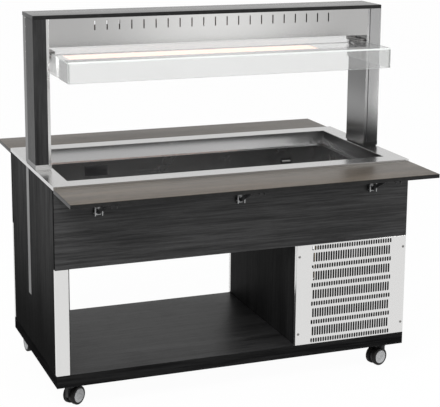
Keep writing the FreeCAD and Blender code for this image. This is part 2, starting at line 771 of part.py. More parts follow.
def buildTop():
    keep("top_board", board("topBoard", ("-%s + joint / 2" % endX, "%s - joint / 2" % endX),
                            ("-" + boardY, boardY), (boardBottom, "barHeight")))

    # The fascia is a folded plate: an upright face with a lip turned in at its foot. The numbers
    # in the outlines only place the first sketch: the named lengths set the sizes.
    body = document.addObject("PartDesign::Body", "frontFascia")
    corners = [(0, 0), (14, 0), (14, 2), (2, 2), (2, 110), (0, 110)]
    outline = outlineSketch(body, "fasciaOutline", "YZ_Plane", corners, [
        ("lip", "DistanceX", (0, 1), (0, 2), 14, "fasciaLip"),
        ("lipThick", "DistanceY", (1, 1), (1, 2), 2, "fasciaSheet"),
        ("rise", "DistanceY", (5, 2), (5, 1), 110, "fasciaHeight"),
        ("wall", "DistanceX", (4, 2), (4, 1), 2, "fasciaSheet")])
    outline.addConstraint(Sketcher.Constraint("Coincident", 0, 1, -1, 1))
    plate = body.newObject("PartDesign::Pad", "fasciaPlate")
    plate.Profile = outline
    bind(plate, Length="2 * " + postInnerX)
    document.recompute()
    plainVolume = plate.Shape.Volume
    slot = outlineSketch(body, "ventSlot", "XZ_Plane", [(100, 60), (105, 60), (105, 96), (100, 96)], [
        ("start", "DistanceX", (-1, 1), (0, 1), 100,
         postInnerX + " - (ventCount - 1) * ventPitch / 2 - ventWidth / 2"),
        ("level", "DistanceY", (-1, 1), (0, 1), 60, "fasciaHeight - ventDrop - ventHeight"),
        ("wide", "DistanceX", (0, 1), (0, 2), 5, "ventWidth"),
        ("tall", "DistanceY", (1, 1), (1, 2), 36, "ventHeight")])
    vent = body.newObject("PartDesign::Pocket", "ventPocket")
    vent.Profile = slot
    vent.Type = "ThroughAll"
    vent.Midplane = True
    document.recompute()
    vents = body.newObject("PartDesign::LinearPattern", "ventRow")
    vents.Originals = [vent]
    vents.Direction = (slot, ["H_Axis"])
    bind(vents, Length="(ventCount - 1) * ventPitch", Occurrences="ventCount")
    body.Tip = vents
    place(body, "-" + postInnerX, "-" + boardY, fasciaBottom)
    document.recompute()
    cutVolume = plainVolume - vents.Shape.Volume
    perSlot = size("ventWidth") * size("ventHeight") * size("fasciaSheet")
    print("fascia vents cut: %.2f of %d" % (cutVolume / perSlot, size("ventCount")))
    keep("front_fascia", body)
    keep("rear_fascia", mirrored("rearFascia", body, Vector(0, 1, 0)))

    innerY = "(boardWidth / 2 - fasciaSheet)"
    lampLow = "(lampShift - lampLength / 2)"
    lampHigh = "(lampShift + lampLength / 2)"
    diffuserTop = panTop + " + diffuserThick"
    pan = block("lightPanSheet", ("-" + postInnerX, postInnerX), ("-" + innerY, innerY), (panUnder, panTop))
    window = block("lightWindow", (lampLow, lampHigh), ("-lampWidth / 2", "lampWidth / 2"),
                   (panUnder + " - overcut", panTop + " + overcut"))
    keep("light_pan", cut("lightPan", pan, window))
    diffuserX = (lampLow + " - diffuserEndLap", lampHigh + " + diffuserEndLap")
    diffuserY = ("-lampWidth / 2 - diffuserLap", "lampWidth / 2 + diffuserLap")
    keep("lamp_diffuser", board("lampDiffuser", diffuserX, diffuserY, (panTop, diffuserTop)))
    keep("lamp_bar", block("lampBar", (lampLow, lampHigh), ("-lampBarWidth / 2", "lampBarWidth / 2"),
                           (diffuserTop, diffuserTop + " + lampBarHeight")))
    driverX = lampHigh + " + 2 * diffuserEndLap"
    keep("lamp_driver", block("lampDriver", (driverX, driverX + " + driverLength"),
                              ("-driverWidth / 2", "driverWidth / 2"), (panTop, panTop + " + driverHeight")))


# ---- glass guard -------------------------------------------------------------------------------

def buildGlass():
    """A pane between the posts, with a front and two side panes hung under its edges."""
    bottom = "(glassTop - glassDrop)"
    keep("glass_top", block("glassTopPane", ("-" + glassX, glassX), (glassFrontY, "glassRear"),
                            (glassUnder, "glassTop")))
    keep("glass_front", block("glassFrontPane", ("-" + glassX, glassX),
                              (glassFrontY, glassFrontY + " + glassThick"), (bottom, glassUnder)))
    studY = ["(clampRear - studInset)", "(clampRear - clampBlock + studInset)"]
    studZ = "(%s - clampDrop / 2)" % glassUnder
    sides = []
    clamps = []
    studs = []
    for side, name in ((-1, "left"), (1, "right")):
        def across(near, far):
            """Between two distances from the middle of the bar, for this side."""
            return (near, far) if side > 0 else ("-(%s)" % far, "-(%s)" % near)

        pane = block(name + "Pane", across(glassX + " - glassThick", glassX),
                     (glassFrontY + " + glassThick", "sidePaneRear"), (bottom, glassUnder))
        leaf = block(name + "ClampLeaf", across(postInnerX + " - clampWidth", postInnerX),
                     ("clampRear - clampLength", "clampRear"), ("glassTop", "glassTop + clampLeaf"))
        drop = block(name + "ClampBlock", across(glassX, postInnerX), ("clampRear - clampBlock", "clampRear"),
                     (glassUnder + " - clampDrop", "glassTop"))
        paneHoles = []
        clampBores = []
        for index, y in enumerate(studY):
            tag = "%s%d" % (name, index)
            paneLow = across(glassX + " - 2 * glassThick", glassX + " + glassThick")[0]
            paneHoles.append(rod(tag + "PaneHole", "studRadius + fit", "3 * glassThick", "x", paneLow, y,
                                 studZ))
            boreLow, boreHigh = across(glassX + " - overcut", postInnerX + " - studHeadThick + overcut")
            boreLength = "%s - (%s)" % (boreHigh, boreLow)
            clampBores.append(rod(tag + "ClampBore", "studRadius + runningFit", boreLength, "x", boreLow, y,
                                  studZ))
            low, high = across(glassX + " - glassThick - studHeadThick", postInnerX + " - studHeadThick")
            shank = rod(tag + "Stud", "studRadius", "%s - (%s)" % (high, low), "x", low, y, studZ)
            headLow = across(glassX + " - glassThick - studHeadThick", glassX + " - glassThick")[0]
            head = rod(tag + "StudHead", "studHead", "studHeadThick", "x", headLow, y, studZ)
            studs.append(join(tag + "StudBody", shank, head))
        sides.append(cut(name + "PaneBored", pane, *paneHoles))
        clamps.append(cut(name + "ClampBored", join(name + "Clamp", leaf, drop), *clampBores))
        capX = "(%s - clampWidth / 2)" % postInnerX
        studs.append(rod(name + "StudCap", "studHead", "studHeadThick", "z", capX if side > 0 else "-" + capX,
                         "clampRear - capFromRear", "glassTop + clampLeaf"))
    keep("glass_sides", group("glassSides", sides))
    keep("glass_clamps", group("glassClamps", clamps))
    keep("clamp_studs", group("clampStuds", studs))


# ---- tray shelves on folding brackets --------------------------------------------------------------

def bracketX(index):
    return "((%d - (bracketCount - 1) / 2) * bracketPitch)" % index


def wallLeaf(index):
    """The channel screwed to the apron, with bores for the hinge pin and the stay's pin."""
    x = bracketX(index)
    half = "wallLeafWidth / 2"
    top = hingeZ + " + earRadius + wallLeafSheet"
    bottom = stayZ + " - wallLeafBelow"
    name = "wallLeaf%d" % index
    channel = block(name + "Block", ("%s - %s" % (x, half), "%s + %s" % (x, half)),
                    ("-%s - wallLeafDepth" % faceY, "-" + faceY), (bottom, top))
    gap = block(name + "Gap", ("%s - %s + wallLeafSheet" % (x, half), "%s + %s - wallLeafSheet" % (x, half)),
                ("-%s - wallLeafDepth - overcut" % faceY, "-%s - wallLeafWeb" % faceY),
                (bottom + " - overcut", top + " + overcut"))
    low = "%s - wallLeafWidth" % x
    bores = [rod(name + pivot, "pinRadius + runningFit", "2 * wallLeafWidth", "x", low, y, z)
             for pivot, y, z in (("HingeBore", hingeY, hingeZ), ("StayBore", stayY, stayZ))]
    return cut(name, channel, gap, *bores)


def pivotPin(name, index, y, z):
    """A headed pin across the wall leaf's channel."""
    x = bracketX(index)
    shank = rod(name + "Shank", "pinRadius", "wallLeafWidth", "x", x + " - wallLeafWidth / 2", y, z)
    leftHead = rod(name + "HeadL", "pinHead", "pinHeadThick", "x",
                   x + " - wallLeafWidth / 2 - pinHeadThick", y, z)
    rightHead = rod(name + "HeadR", "pinHead", "pinHeadThick", "x", x + " + wallLeafWidth / 2", y, z)
    return join(name, shank, leftHead, rightHead)


def trayLeaf(index):
    """The channel under the tray: its two ears turn on the hinge pin, and the stay runs inside it."""
    x = bracketX(index)
    name = "trayLeaf%d" % index
    half = "leafWidth / 2"
    start = "(-%s - hingeOut + earRadius - joint)" % faceY
    end = "(%s - leafReach)" % hingeY
    web = block(name + "Web", ("%s - %s" % (x, half), "%s + %s" % (x, half)), (end, start),
                (trayUnder + " - leafSheet", trayUnder))
    cheeks = []
    for side, sign in (("L", "-"), ("R", "+")):
        near = "%s %s (%s)" % (x, sign, half)
        far = "%s %s (%s - leafSheet)" % (x, sign, half)
        span = (near, far) if sign == "-" else (far, near)
        cheeks.append(block(name + "Cheek" + side, span, (end, start),
                            (trayUnder + " - leafDepth", trayUnder)))
        cheeks.append(block(name + "Drop" + side, span, (hingeY + " - earRadius", start),
                            (hingeZ, trayUnder)))
        cheeks.append(rod(name + "Ear" + side, "earRadius", "leafSheet", "x", span[0], hingeY, hingeZ))
    body = join(name + "Body", web, *cheeks)
    low = "%s - leafWidth" % x
    bore = rod(name + "Bore", "pinRadius + runningFit", "2 * leafWidth", "x", low, hingeY, hingeZ)
    # The slot that the stay's end follows as the tray folds.
    slotHigh = trayUnder + " - stayPinDrop + pinRadius"
    slotLow = trayUnder + " - stayPinDrop - pinRadius"
    slot = block(name + "Slot", ("%s - leafWidth" % x, "%s + leafWidth" % x),
                 (end + " + 2 * leafSheet", "%s - stayReach + pinHead" % stayY), (slotLow, slotHigh))
    return cut(name, body, bore, slot)


def stay(index):
    """The strut that props the tray: a flat bar with round ends, turning on the lower pin."""
    name = "stay%d" % index
    x = bracketX(index)
    rise = size("stayPivotDrop") + size("hingeDrop") - size("stayPinDrop")
    reach = size("stayReach")
    length = math.hypot(rise, reach)
    half = size("stayHeight") / 2
    thick = size("stayThick")
    bar = Part.makeBox(thick, length, 2 * half, Vector(-thick / 2, -length, -half))
    ends = [Part.makeCylinder(half, thick, Vector(-thick / 2, y, 0), Vector(1, 0, 0)) for y in (0, -length)]
    pinHalf = size("leafWidth") / 2 - size("leafSheet") - size("fit")
    pin = Part.makeCylinder(size("pinRadius"), 2 * pinHalf, Vector(-pinHalf, -length, 0), Vector(1, 0, 0))
    bore = Part.makeCylinder(size("pinRadius") + size("runningFit"), 2 * thick, Vector(-thick, 0, 0),
                             Vector(1, 0, 0))
    shape = bar.fuse(ends + [pin]).cut(bore).removeSplitter()
    piece = shaped(name, shape)
    slope = -math.degrees(math.atan2(rise, reach))
    piece.Placement = FreeCAD.Placement(Vector(), Rotation(Vector(1, 0, 0), slope))
    return place(piece, x, stayY, stayZ)


def buildTrays():
    inner = "-%s - trayGap" % faceY
    tray = keep("front_tray", board("frontTray", ("-" + endX, endX), (inner + " - trayDepth", inner),
                                    (trayUnder, trayTop)))
    keep("rear_tray", mirrored("rearTray", tray, Vector(0, 1, 0)))
    brackets = range(int(size("bracketCount")))
    leaves = [trayLeaf(index) for index in brackets]
    stays = [stay(index) for index in brackets]
    wallLeaves = [wallLeaf(index) for index in brackets]
    pins = []
    for index in brackets:
        pins.append(pivotPin("hingePin%d" % index, index, hingeY, hingeZ))
        pins.append(pivotPin("stayPin%d" % index, index, stayY, stayZ))
    frontLeaves = keep("front_tray_leaves", group("frontTrayLeaves", leaves))
    keep("rear_tray_leaves", mirrored("rearTrayLeaves", frontLeaves, Vector(0, 1, 0)))
    frontStays = keep("front_stays", group("frontStays", stays))
    keep("rear_stays", mirrored("rearStays", frontStays, Vector(0, 1, 0)))
    frontWall = group("frontWallLeaves", wallLeaves)
    rearWall = mirrored("rearWallLeaves", frontWall, Vector(0, 1, 0))
    keep("bracket_wall_leaves", group("bracketWallLeaves", [frontWall, rearWall]))
    frontPins = group("frontPins", pins)
    rearPins = mirrored("rearPins", frontPins, Vector(0, 1, 0))
    keep("bracket_pins", group("bracketPins", [frontPins, rearPins]))


# ---- controls on the staff side ----------------------------------------------------------------------

def rockerX(index):
    return "(controlX - controlWidth / 2 + %d * rockerPitch)" % (index + 1)


def rocker(name, index):
    """A rocker key: a slice of a drum about a lengthwise axis in its plate, tilted at rest."""
    drum = rod(name + "Drum", "rockerHeight / 2", "rockerWidth", "x", "-rockerWidth / 2", 0, 0)
    slab = block(name + "Slab", ("-rockerWidth", "rockerWidth"), ("rockerProud - rockerBody", "rockerProud"),
                 ("-rockerHeight", "rockerHeight"))
    key = document.addObject("Part::Common", name)
    key.Base = drum
    key.Tool = slab
    key.Placement = FreeCAD.Placement(Vector(), Rotation(Vector(1, 0, 0), size("rockerTilt")))
    return place(key, rockerX(index), controlFace + " - controlSheet / 2", "controlZ")


def buildControls():
    """A shallow steel box on the rear apron: two rockers in windows and a knob on a spindle."""
    shell = block("controlShell", ("controlX - controlWidth / 2", "controlX + controlWidth / 2"),
                  (faceY, controlFace), ("controlZ - controlHeight / 2", "controlZ + controlHeight / 2"))
    insideX = "(controlWidth / 2 - controlSheet)"
    insideZ = "(controlHeight / 2 - controlSheet)"
    hollow = block("controlHollow", ("controlX - " + insideX, "controlX + " + insideX),
                   (faceY + " - overcut", controlFace + " - controlSheet"),
                   ("controlZ - " + insideZ, "controlZ + " + insideZ))
    windows = []
    for index in range(2):
        half = "(rockerWidth / 2 + fit)"
        windows.append(block("rockerWindow%d" % index,
                             ("%s - %s" % (rockerX(index), half), "%s + %s" % (rockerX(index), half)),
                             (faceY, controlFace + " + overcut"),
                             ("controlZ - rockerHeight / 2 - fit", "controlZ + rockerHeight / 2 + fit")))
    spindle = rod("knobSpindle", "spindleRadius", "controlSheet + knobLength / 2", "y", knobX,
                  controlFace + " - controlSheet", "controlZ")
    keep("control_panel", join("controlPanel", cut("controlBox", shell, hollow, *windows), spindle))

    body = rod("knobBody", "knobRadius", "knobLength", "y", knobX, controlFace + " + fit", "controlZ")
    grip = block("knobGrip", (knobX + " - knobGripWidth / 2", knobX + " + knobGripWidth / 2"),
                 (controlFace + " + knobLength", controlFace + " + knobLength + knobGripHeight"),
                 ("controlZ - knobGripLength / 2", "controlZ + knobGripLength / 2"))
    bore = rod("knobBore", "spindleRadius + runningFit", "knobLength / 2 + fit", "y", knobX, controlFace,
               "controlZ")
    keep("thermostat_knob", cut("thermostatKnob", join("knobSolid", body, grip), bore))
    for index, name in enumerate(("power_switch", "light_switch")):
        keep(name, rocker(name, index))


def buildInlet():
    """The gland that the mains lead enters by, low on the rear grille's margin."""
    flange = rod("inletFlangeRing", "inletRadius", "inletFlange", "y", inletX, faceY, inletZ)
    neck = rod("inletNeckRing", "inletNeck", "inletLength", "y", inletX, faceY, inletZ)
    bore = rod("inletBoreTool", "inletBore", "inletLength + 2 * overcut", "y", inletX,
               faceY + " - overcut", inletZ)
    keep("power_inlet", cut("powerInlet", join("inletBody", flange, neck), bore))


# ---- casters -------------------------------------------------------------------------------------------

casterCorners = {
    "front_left": (-1, -1, "frontLeftTurn"),
    "front_right": (1, -1, "frontRightTurn"),
    "rear_left": (-1, 1, "rearLeftTurn"),
    "rear_right": (1, 1, "rearRightTurn"),
}


def twinWheels():
    """Two wheels on one axle along Y: rounded tyres, each with a disc on its outer side."""
    radius = size("wheelRadius")
    hub = size("hubRadius")
    soft = size("tyreRound")
    proud = size("hubProud")
    near = size("twinGap") / 2
    far = near + size("wheelWidth")
    # Half section of the tyre in the X-Y plane, from the hub's seat outwards.
    points = [Vector(hub, near), Vector(radius - soft, near), Vector(radius, near + soft),
              Vector(radius, far - soft), Vector(radius - soft, far), Vector(hub, far)]
    bend = soft * (1 - math.sqrt(0.5))
    edges = [Part.LineSegment(points[0], points[1]),
             Part.Arc(points[1], Vector(radius - bend, near + bend), points[2]),
             Part.LineSegment(points[2], points[3]),
             Part.Arc(points[3], Vector(radius - bend, far - bend), points[4]),
             Part.LineSegment(points[4], points[5]),
             Part.LineSegment(points[5], points[0])]
    section = Part.Face(Part.Wire([edge.toShape() for edge in edges]))
    tyre = section.revolve(Vector(), Vector(0, 1, 0), 360)
    disc = Part.makeCylinder(hub - size("discFit"), far - near + proud, Vector(0, near, 0), Vector(0, 1, 0))
    rim = disc.Edges[edgeNear(disc, Vector(0, far + proud, 0)) - 1]
    disc = disc.makeFillet(proud * 0.9, [rim])
    boreRadius = size("axleRadius") + size("runningFit")
    bore = Part.makeCylinder(boreRadius, far - 2 * proud, Vector(), Vector(0, 1, 0))
    disc = disc.cut(bore)
    flip = (Vector(), Vector(0, 1, 0))
    return Part.makeCompound([tyre, disc, tyre.mirror(*flip), disc.mirror(*flip)])


def casterHousing():
    """The fork between the twin wheels: a rounded web, its axle and the swivel boss above."""
    rise = size("casterHeight") - size("casterPlateThick") - size("swivelHeight")
    axleZ = size("wheelRadius")
    trail = size("casterTrail")
    neckRadius = size("neckRadius")
    webHalf = size("twinGap") / 2 - size("webClear")
    overWheels = 2 * axleZ + size("bossLift")
    web = Part.makeCylinder(size("webRadius"), 2 * webHalf, Vector(trail, -webHalf, axleZ), Vector(0, 1, 0))
    neckStart = Vector(-size("neckBehind"), -webHalf, axleZ)
    neck = Part.makeBox(trail + neckRadius, 2 * webHalf, rise - axleZ, neckStart)
    boss = Part.makeCylinder(neckRadius, rise - overWheels, Vector(0, 0, overWheels))
    hood = Part.makeCylinder(neckRadius, size("hoodThick"), Vector(size("hoodOffset"), 0, overWheels))
    axleHalf = size("twinGap") / 2 + size("wheelWidth") - size("axleShort")
    axleStart = Vector(trail, -axleHalf, axleZ)
    axle = Part.makeCylinder(size("axleRadius"), 2 * axleHalf, axleStart, Vector(0, 1, 0))
    return web.fuse([neck, boss, hood, axle]).removeSplitter()


def buildCasters():
    plates = []
    wheelsShape = twinWheels()
    housingShape = casterHousing()
    for name, (sideX, sideY, turn) in casterCorners.items():
        x = "%d * (barLength / 2 - casterInset)" % sideX
        y = "%d * (barDepth / 2 - casterInset)" % sideY
        half = "casterPlate / 2"
        plate = block(name + "Plate", ("%s - %s" % (x, half), "%s + %s" % (x, half)),
                      ("%s - %s" % (y, half), "%s + %s" % (y, half)),
                      ("casterHeight - casterPlateThick", "casterHeight"))
        race = rod(name + "Race", "swivelRadius", "swivelHeight - fit", "z", x, y,
                   "casterHeight - casterPlateThick - swivelHeight + fit")
        plates.append(join(name + "Mount", plate, race))
        housing = shaped(name + "Housing", housingShape)
        housing.Placement = FreeCAD.Placement(Vector(), Rotation(Vector(0, 0, 1), size(turn)))
        place(housing, x, y, 0)
        keep("caster_%s_housing" % name, housing)
        wheels = shaped(name + "Wheels", wheelsShape)
        wheels.Placement = FreeCAD.Placement(Vector(), Rotation(Vector(0, 0, 1), size(turn)))
        place(wheels, "%s + casterTrail * cos(%s * 1 deg)" % (x, turn),
              "%s + casterTrail * sin(%s * 1 deg)" % (y, turn), "wheelRadius")
        keep("caster_%s_wheels" % name, wheels)
    keep("caster_plates", group("casterPlates", plates))


buildCabinet()
buildGrilles()
buildWell()
buildMachine()
buildPosts()
buildTop()
buildGlass()
buildTrays()
buildControls()
buildInlet()
buildCasters()

document.recompute()
for piece in document.Objects:
    if "Invalid" in piece.State or "Error" in piece.State:
        raise RuntimeError("%s did not compute: %s" % (piece.Name, piece.State))
os.makedirs("parts", exist_ok=True)
for piece in nodes:
    shape = piece.Shape
    if shape.isNull() or not shape.isValid() or not shape.Solids:
        raise RuntimeError("%s has no valid solid" % piece.Label)
    shape.exportStep("parts/%s.step" % piece.Label)
print("%d sub-parts, %d solids" % (len(nodes), sum(len(piece.Shape.Solids) for piece in nodes)))
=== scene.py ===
import bpy, bmesh, math
from mathutils import Vector, Matrix


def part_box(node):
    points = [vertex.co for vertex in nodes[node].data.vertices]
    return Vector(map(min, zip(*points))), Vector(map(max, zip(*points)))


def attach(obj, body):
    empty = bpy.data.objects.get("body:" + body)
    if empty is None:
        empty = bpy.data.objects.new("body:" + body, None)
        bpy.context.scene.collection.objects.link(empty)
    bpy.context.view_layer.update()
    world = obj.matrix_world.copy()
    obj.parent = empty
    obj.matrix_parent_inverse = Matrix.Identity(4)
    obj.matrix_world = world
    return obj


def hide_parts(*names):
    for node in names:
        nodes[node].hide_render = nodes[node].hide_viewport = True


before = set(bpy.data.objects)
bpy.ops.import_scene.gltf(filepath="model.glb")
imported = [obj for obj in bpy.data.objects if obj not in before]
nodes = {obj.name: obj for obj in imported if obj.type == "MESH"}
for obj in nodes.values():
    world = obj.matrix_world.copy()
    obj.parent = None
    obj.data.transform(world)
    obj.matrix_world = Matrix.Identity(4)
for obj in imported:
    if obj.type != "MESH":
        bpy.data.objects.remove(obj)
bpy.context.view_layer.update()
scene = bpy.context.scene

# Metres throughout, in the CAD frame: X along the bar, -Y to the guests, Z up.


# Small helpers for node trees.
def addNode(tree, kind, **settings):
    node = tree.nodes.new(kind)
    node.location = (180 * (len(tree.nodes) % 9), -170 * (len(tree.nodes) // 9))
    for name, value in settings.items():
        setattr(node, name, value)
    return node


def feed(tree, node, **values):
    # i0, i1... is a socket's place, anything else its name; a value is a number, a vector or a link's start
    for name, value in values.items():
        place = name[1:]
        socket = node.inputs[int(place)] if place.isdigit() else node.inputs[name.replace("_", " ")]
        if isinstance(value, bpy.types.NodeSocket):
            tree.links.new(value, socket)
        else:
            socket.default_value = value
    return node.outputs[0] if node.outputs else None


def put(tree, kind, **values):
    return feed(tree, addNode(tree, kind), **values)


def calc(tree, operation, a, b=0.0, clamp=False):
    return feed(tree, addNode(tree, "ShaderNodeMath", operation=operation, use_clamp=clamp), i0=a, i1=b)


def times(tree, a, b):
    return calc(tree, "MULTIPLY", a, b)


def plus(tree, a, b, clamp=False):
    return calc(tree, "ADD", a, b, clamp)


def minus(tree, a, b):
    return calc(tree, "SUBTRACT", a, b)


def opaque(colour):
    # a grey level or a colour, with full alpha
    return (colour,) * 3 + (1,) if isinstance(colour, float) else (*colour, 1)


def mixColour(tree, factor, a, b, blend="MIX"):
    node = addNode(tree, "ShaderNodeMix", data_type="RGBA", blend_type=blend)
    feed(tree, node, i0=factor, i6=a, i7=b)
    return node.outputs[2]


def remap(tree, value, low, high, toLow=0.0, toHigh=1.0):
    node = addNode(tree, "ShaderNodeMapRange", interpolation_type="SMOOTHSTEP")
    return feed(tree, node, i0=value, i1=low, i2=high, i3=toLow, i4=toHigh)


def streaks(tree, vector, stretch, detail=3.0, rough=0.6, twist=0.0):
    # noise stretched along the axis with the smallest number; the numbers are cycles per metre
    scaled = feed(tree, addNode(tree, "ShaderNodeVectorMath", operation="MULTIPLY"), i0=vector, i1=stretch)
    noise = addNode(tree, "ShaderNodeTexNoise")
    return feed(tree, noise, Vector=scaled, Scale=1.0, Detail=detail, Roughness=rough, Distortion=twist)


def newGroup(name, kind, inputs, outputs):
    tree = bpy.data.node_groups.new(name, kind)
    for label, socketKind, value in inputs:
        socket = tree.interface.new_socket(name=label, in_out="INPUT", socket_type="NodeSocket" + socketKind)
        if value is not None:
            socket.default_value = value
    for label, socketKind in outputs:
        tree.interface.new_socket(name=label, in_out="OUTPUT", socket_type="NodeSocket" + socketKind)
    return tree, addNode(tree, "NodeGroupInput").outputs, addNode(tree, "NodeGroupOutput")


def useGroup(tree, group, **values):
    node = addNode(tree, "ShaderNodeGroup")
    node.node_tree = group
    feed(tree, node, **values)
    return node.outputs


# Shared effects: laminate grain, brushing, finger marks and settled dust.
def makeWoodGrain():
    # the grain runs along the vector's X
    tree, given, out = newGroup("woodGrain", "ShaderNodeTree",
        [("Vector", "Vector", None), ("Dark", "Color", (0.01, 0.01, 0.01, 1)),
        ("Light", "Color", (0.04, 0.04, 0.04, 1)), ("Gloss", "Float", 0.36)],
        [("Color", "Color"), ("Roughness", "Float"), ("Height", "Float")])
    figure = streaks(tree, given["Vector"], (1.4, 17, 17), 4.0, 0.6, 0.4)
    fibre = streaks(tree, given["Vector"], (3.2, 130, 130), 3.0, 0.65)
    hair = streaks(tree, given["Vector"], (14, 620, 620), 2.0, 0.6)
    pore = remap(tree, streaks(tree, given["Vector"], (22, 950, 950), 1.0), 0.6, 0.72)
    blend = plus(tree, times(tree, figure, 0.3), times(tree, fibre, 0.45))
    blend = plus(tree, blend, times(tree, hair, 0.25))
    tone = remap(tree, blend, 0.36, 0.64)
    colour = mixColour(tree, tone, given["Dark"], given["Light"])
    colour = mixColour(tree, times(tree, pore, 0.6), colour, given["Dark"])
    rough = plus(tree, given["Gloss"], times(tree, pore, 0.16))
    rough = plus(tree, rough, times(tree, minus(tree, fibre, 0.5), 0.12))
    height = minus(tree, plus(tree, times(tree, fibre, 0.4), hair), pore)
    feed(tree, out, Color=colour, Roughness=rough, Height=height)
    return tree


def makeBrushing():
    # rolled and brushed sheet metal, brushed along the vector's X
    tree, given, out = newGroup("brushing", "ShaderNodeTree",
        [("Vector", "Vector", None), ("Metal", "Color", (0.6, 0.6, 0.6, 1)), ("Gloss", "Float", 0.3),
        ("Strength", "Float", 1.0)], [("Color", "Color"), ("Roughness", "Float"), ("Height", "Float")])
    fine = minus(tree, streaks(tree, given["Vector"], (7, 1600, 1600), 2.0, 0.7), 0.5)
    broad = minus(tree, streaks(tree, given["Vector"], (1.1, 46, 46), 3.0, 0.6), 0.5)
    cloud = minus(tree, streaks(tree, given["Vector"], (2.3, 3.1, 3.1), 2.0), 0.5)
    change = plus(tree, times(tree, fine, 0.3), times(tree, broad, 0.22))
    change = times(tree, change, given["Strength"])
    rough = plus(tree, given["Gloss"], times(tree, change, 0.35))
    rough = plus(tree, rough, times(tree, cloud, 0.04), clamp=True)
    level = plus(tree, times(tree, change, 0.8), 0.5)
    shade = mixColour(tree, level, (0.86, 0.86, 0.86, 1), (1, 1, 1, 1))
    colour = mixColour(tree, 1.0, given["Metal"], shade, "MULTIPLY")
    feed(tree, out, Color=colour, Roughness=rough, Height=fine)
    return tree


def makeMarks():
    # wiped finger marks: soft patches with fine arcs in them
    tree, given, out = newGroup("fingerMarks", "ShaderNodeTree",
        [("Vector", "Vector", None), ("Amount", "Float", 0.5)], [("Mask", "Float")])
    patch = remap(tree, streaks(tree, given["Vector"], (4.1, 4.7, 4.3), 3.0, 0.6, 1.2), 0.52, 0.72)
    wiped = streaks(tree, given["Vector"], (38, 90, 60), 2.0, 0.6, 2.0)
    feed(tree, out, Mask=times(tree, times(tree, patch, wiped), given["Amount"]))
    return tree


def makeDust():
    # dust that settles low down, thinning out above Level
    tree, given, out = newGroup("lowDust", "ShaderNodeTree",
        [("Vector", "Vector", None), ("Level", "Float", 0.1)], [("Mask", "Float")])
    split = addNode(tree, "ShaderNodeSeparateXYZ")
    feed(tree, split, i0=given["Vector"])
    ratio = calc(tree, "DIVIDE", split.outputs[2], given["Level"])
    low = remap(tree, ratio, 0.0, 1.0, 1.0, 0.0)
    speckle = remap(tree, streaks(tree, given["Vector"], (190, 190, 160), 3.0, 0.7), 0.42, 0.7)
    feed(tree, out, Mask=times(tree, low, speckle))
    return tree


woodGrain = makeWoodGrain()
brushing = makeBrushing()
fingerMarks = makeMarks()
lowDust = makeDust()


# Materials. Everything that is the same all over a surface sits on the shader's own sockets.
def newMaterial(name, **plain):
    material = bpy.data.materials.new(name)
    material.use_nodes = True
    tree = material.node_tree
    shader = tree.nodes["Principled BSDF"]
    feed(tree, shader, **plain)
    return material, tree, shader


def objectCoords(tree, grain="x"):
    # object coordinates, with the chosen axis brought to X
    coords = addNode(tree, "ShaderNodeTexCoord").outputs["Object"]
    if grain == "x":
        return coords
    split = addNode(tree, "ShaderNodeSeparateXYZ")
    feed(tree, split, i0=coords)
    order = (2, 1, 0) if grain == "z" else (1, 0, 2)
    joined = addNode(tree, "ShaderNodeCombineXYZ")
    return feed(tree, joined, i0=split.outputs[order[0]], i1=split.outputs[order[1]],
        i2=split.outputs[order[2]])


def relief(tree, shader, height, depth, strength=0.6):
    bump = addNode(tree, "ShaderNodeBump")
    feed(tree, bump, Strength=strength, Distance=depth, Height=height)
    tree.links.new(bump.outputs[0], shader.inputs["Normal"])


def paintLightAndShade(tree, colour, lightAndShadeRamp):
    # paints light and shade into a colour: scales it along an axis, measured from the middle, darker or
    # brighter where less or more light falls: (axis, near, far, share at near, share at far)
    axis, near, far, nearShare, farShare = lightAndShadeRamp
    split = addNode(tree, "ShaderNodeSeparateXYZ")
    feed(tree, split, i0=objectCoords(tree))
    shade = remap(tree, calc(tree, "ABSOLUTE", split.outputs[axis]), near, far, nearShare, farShare)
    return mixColour(tree, 1.0, colour, shade, "MULTIPLY")


dustColour = (0.30, 0.28, 0.26)
# painted shade and light: the upright laminate's ramp darkens the end panels towards the foot and lightens
# them towards the top
laminateLook = {"along": {"dark": (0.007, 0.007, 0.0073), "light": (0.044, 0.044, 0.0445), "gloss": 0.40,
    "level": 0.22}, "upright": {"dark": (0.011, 0.011, 0.0112), "light": (0.040, 0.040, 0.0403), "gloss": 0.6,
    "level": 0.004, "lightAndShadeRamp": (2, 0.16, 0.86, 0.12, 1.5)},
    "inner": {"dark": (0.006, 0.006, 0.0062), "light": (0.022, 0.022, 0.0222), "gloss": 0.55, "level": 0.02},
    "edge": {"dark": (0.004, 0.004, 0.0042), "light": (0.015, 0.015, 0.0152), "gloss": 0.6, "level": 0.0},
    "cladding": {"dark": (0.007, 0.007, 0.0073), "light": (0.030, 0.030, 0.0303), "gloss": 0.42,
    "level": 0.18}, "tray": {"dark": (0.037, 0.029, 0.020), "light": (0.118, 0.095, 0.071), "gloss": 0.32,
    "level": 0.42}, "top": {"dark": (0.050, 0.049, 0.048), "light": (0.085, 0.083, 0.081), "gloss": 0.20,
    "level": 0.5}}


def laminate(name, grain, look):
    v = laminateLook[look]
    material, tree, shader = newMaterial(name, IOR=1.5, Specular_IOR_Level=v["level"])
    coords = objectCoords(tree, grain)
    wood = useGroup(tree, woodGrain, Vector=coords, Dark=opaque(v["dark"]), Light=opaque(v["light"]),
        Gloss=v["gloss"])
    marks = useGroup(tree, fingerMarks, Vector=coords, Amount=0.05)["Mask"]
    # a look with a ramp gets light and shade painted into its grain's colour
    colour = paintLightAndShade(tree, wood["Color"], v["lightAndShadeRamp"]) if "lightAndShadeRamp" in v else wood["Color"]
    feed(tree, shader, Base_Color=colour, Roughness=plus(tree, wood["Roughness"], marks, clamp=True))
    relief(tree, shader, wood["Height"], 0.00006)
    return material


steelLook = {"metal": (0.76, 0.757, 0.75), "gloss": 0.23, "relief": 0.00002}


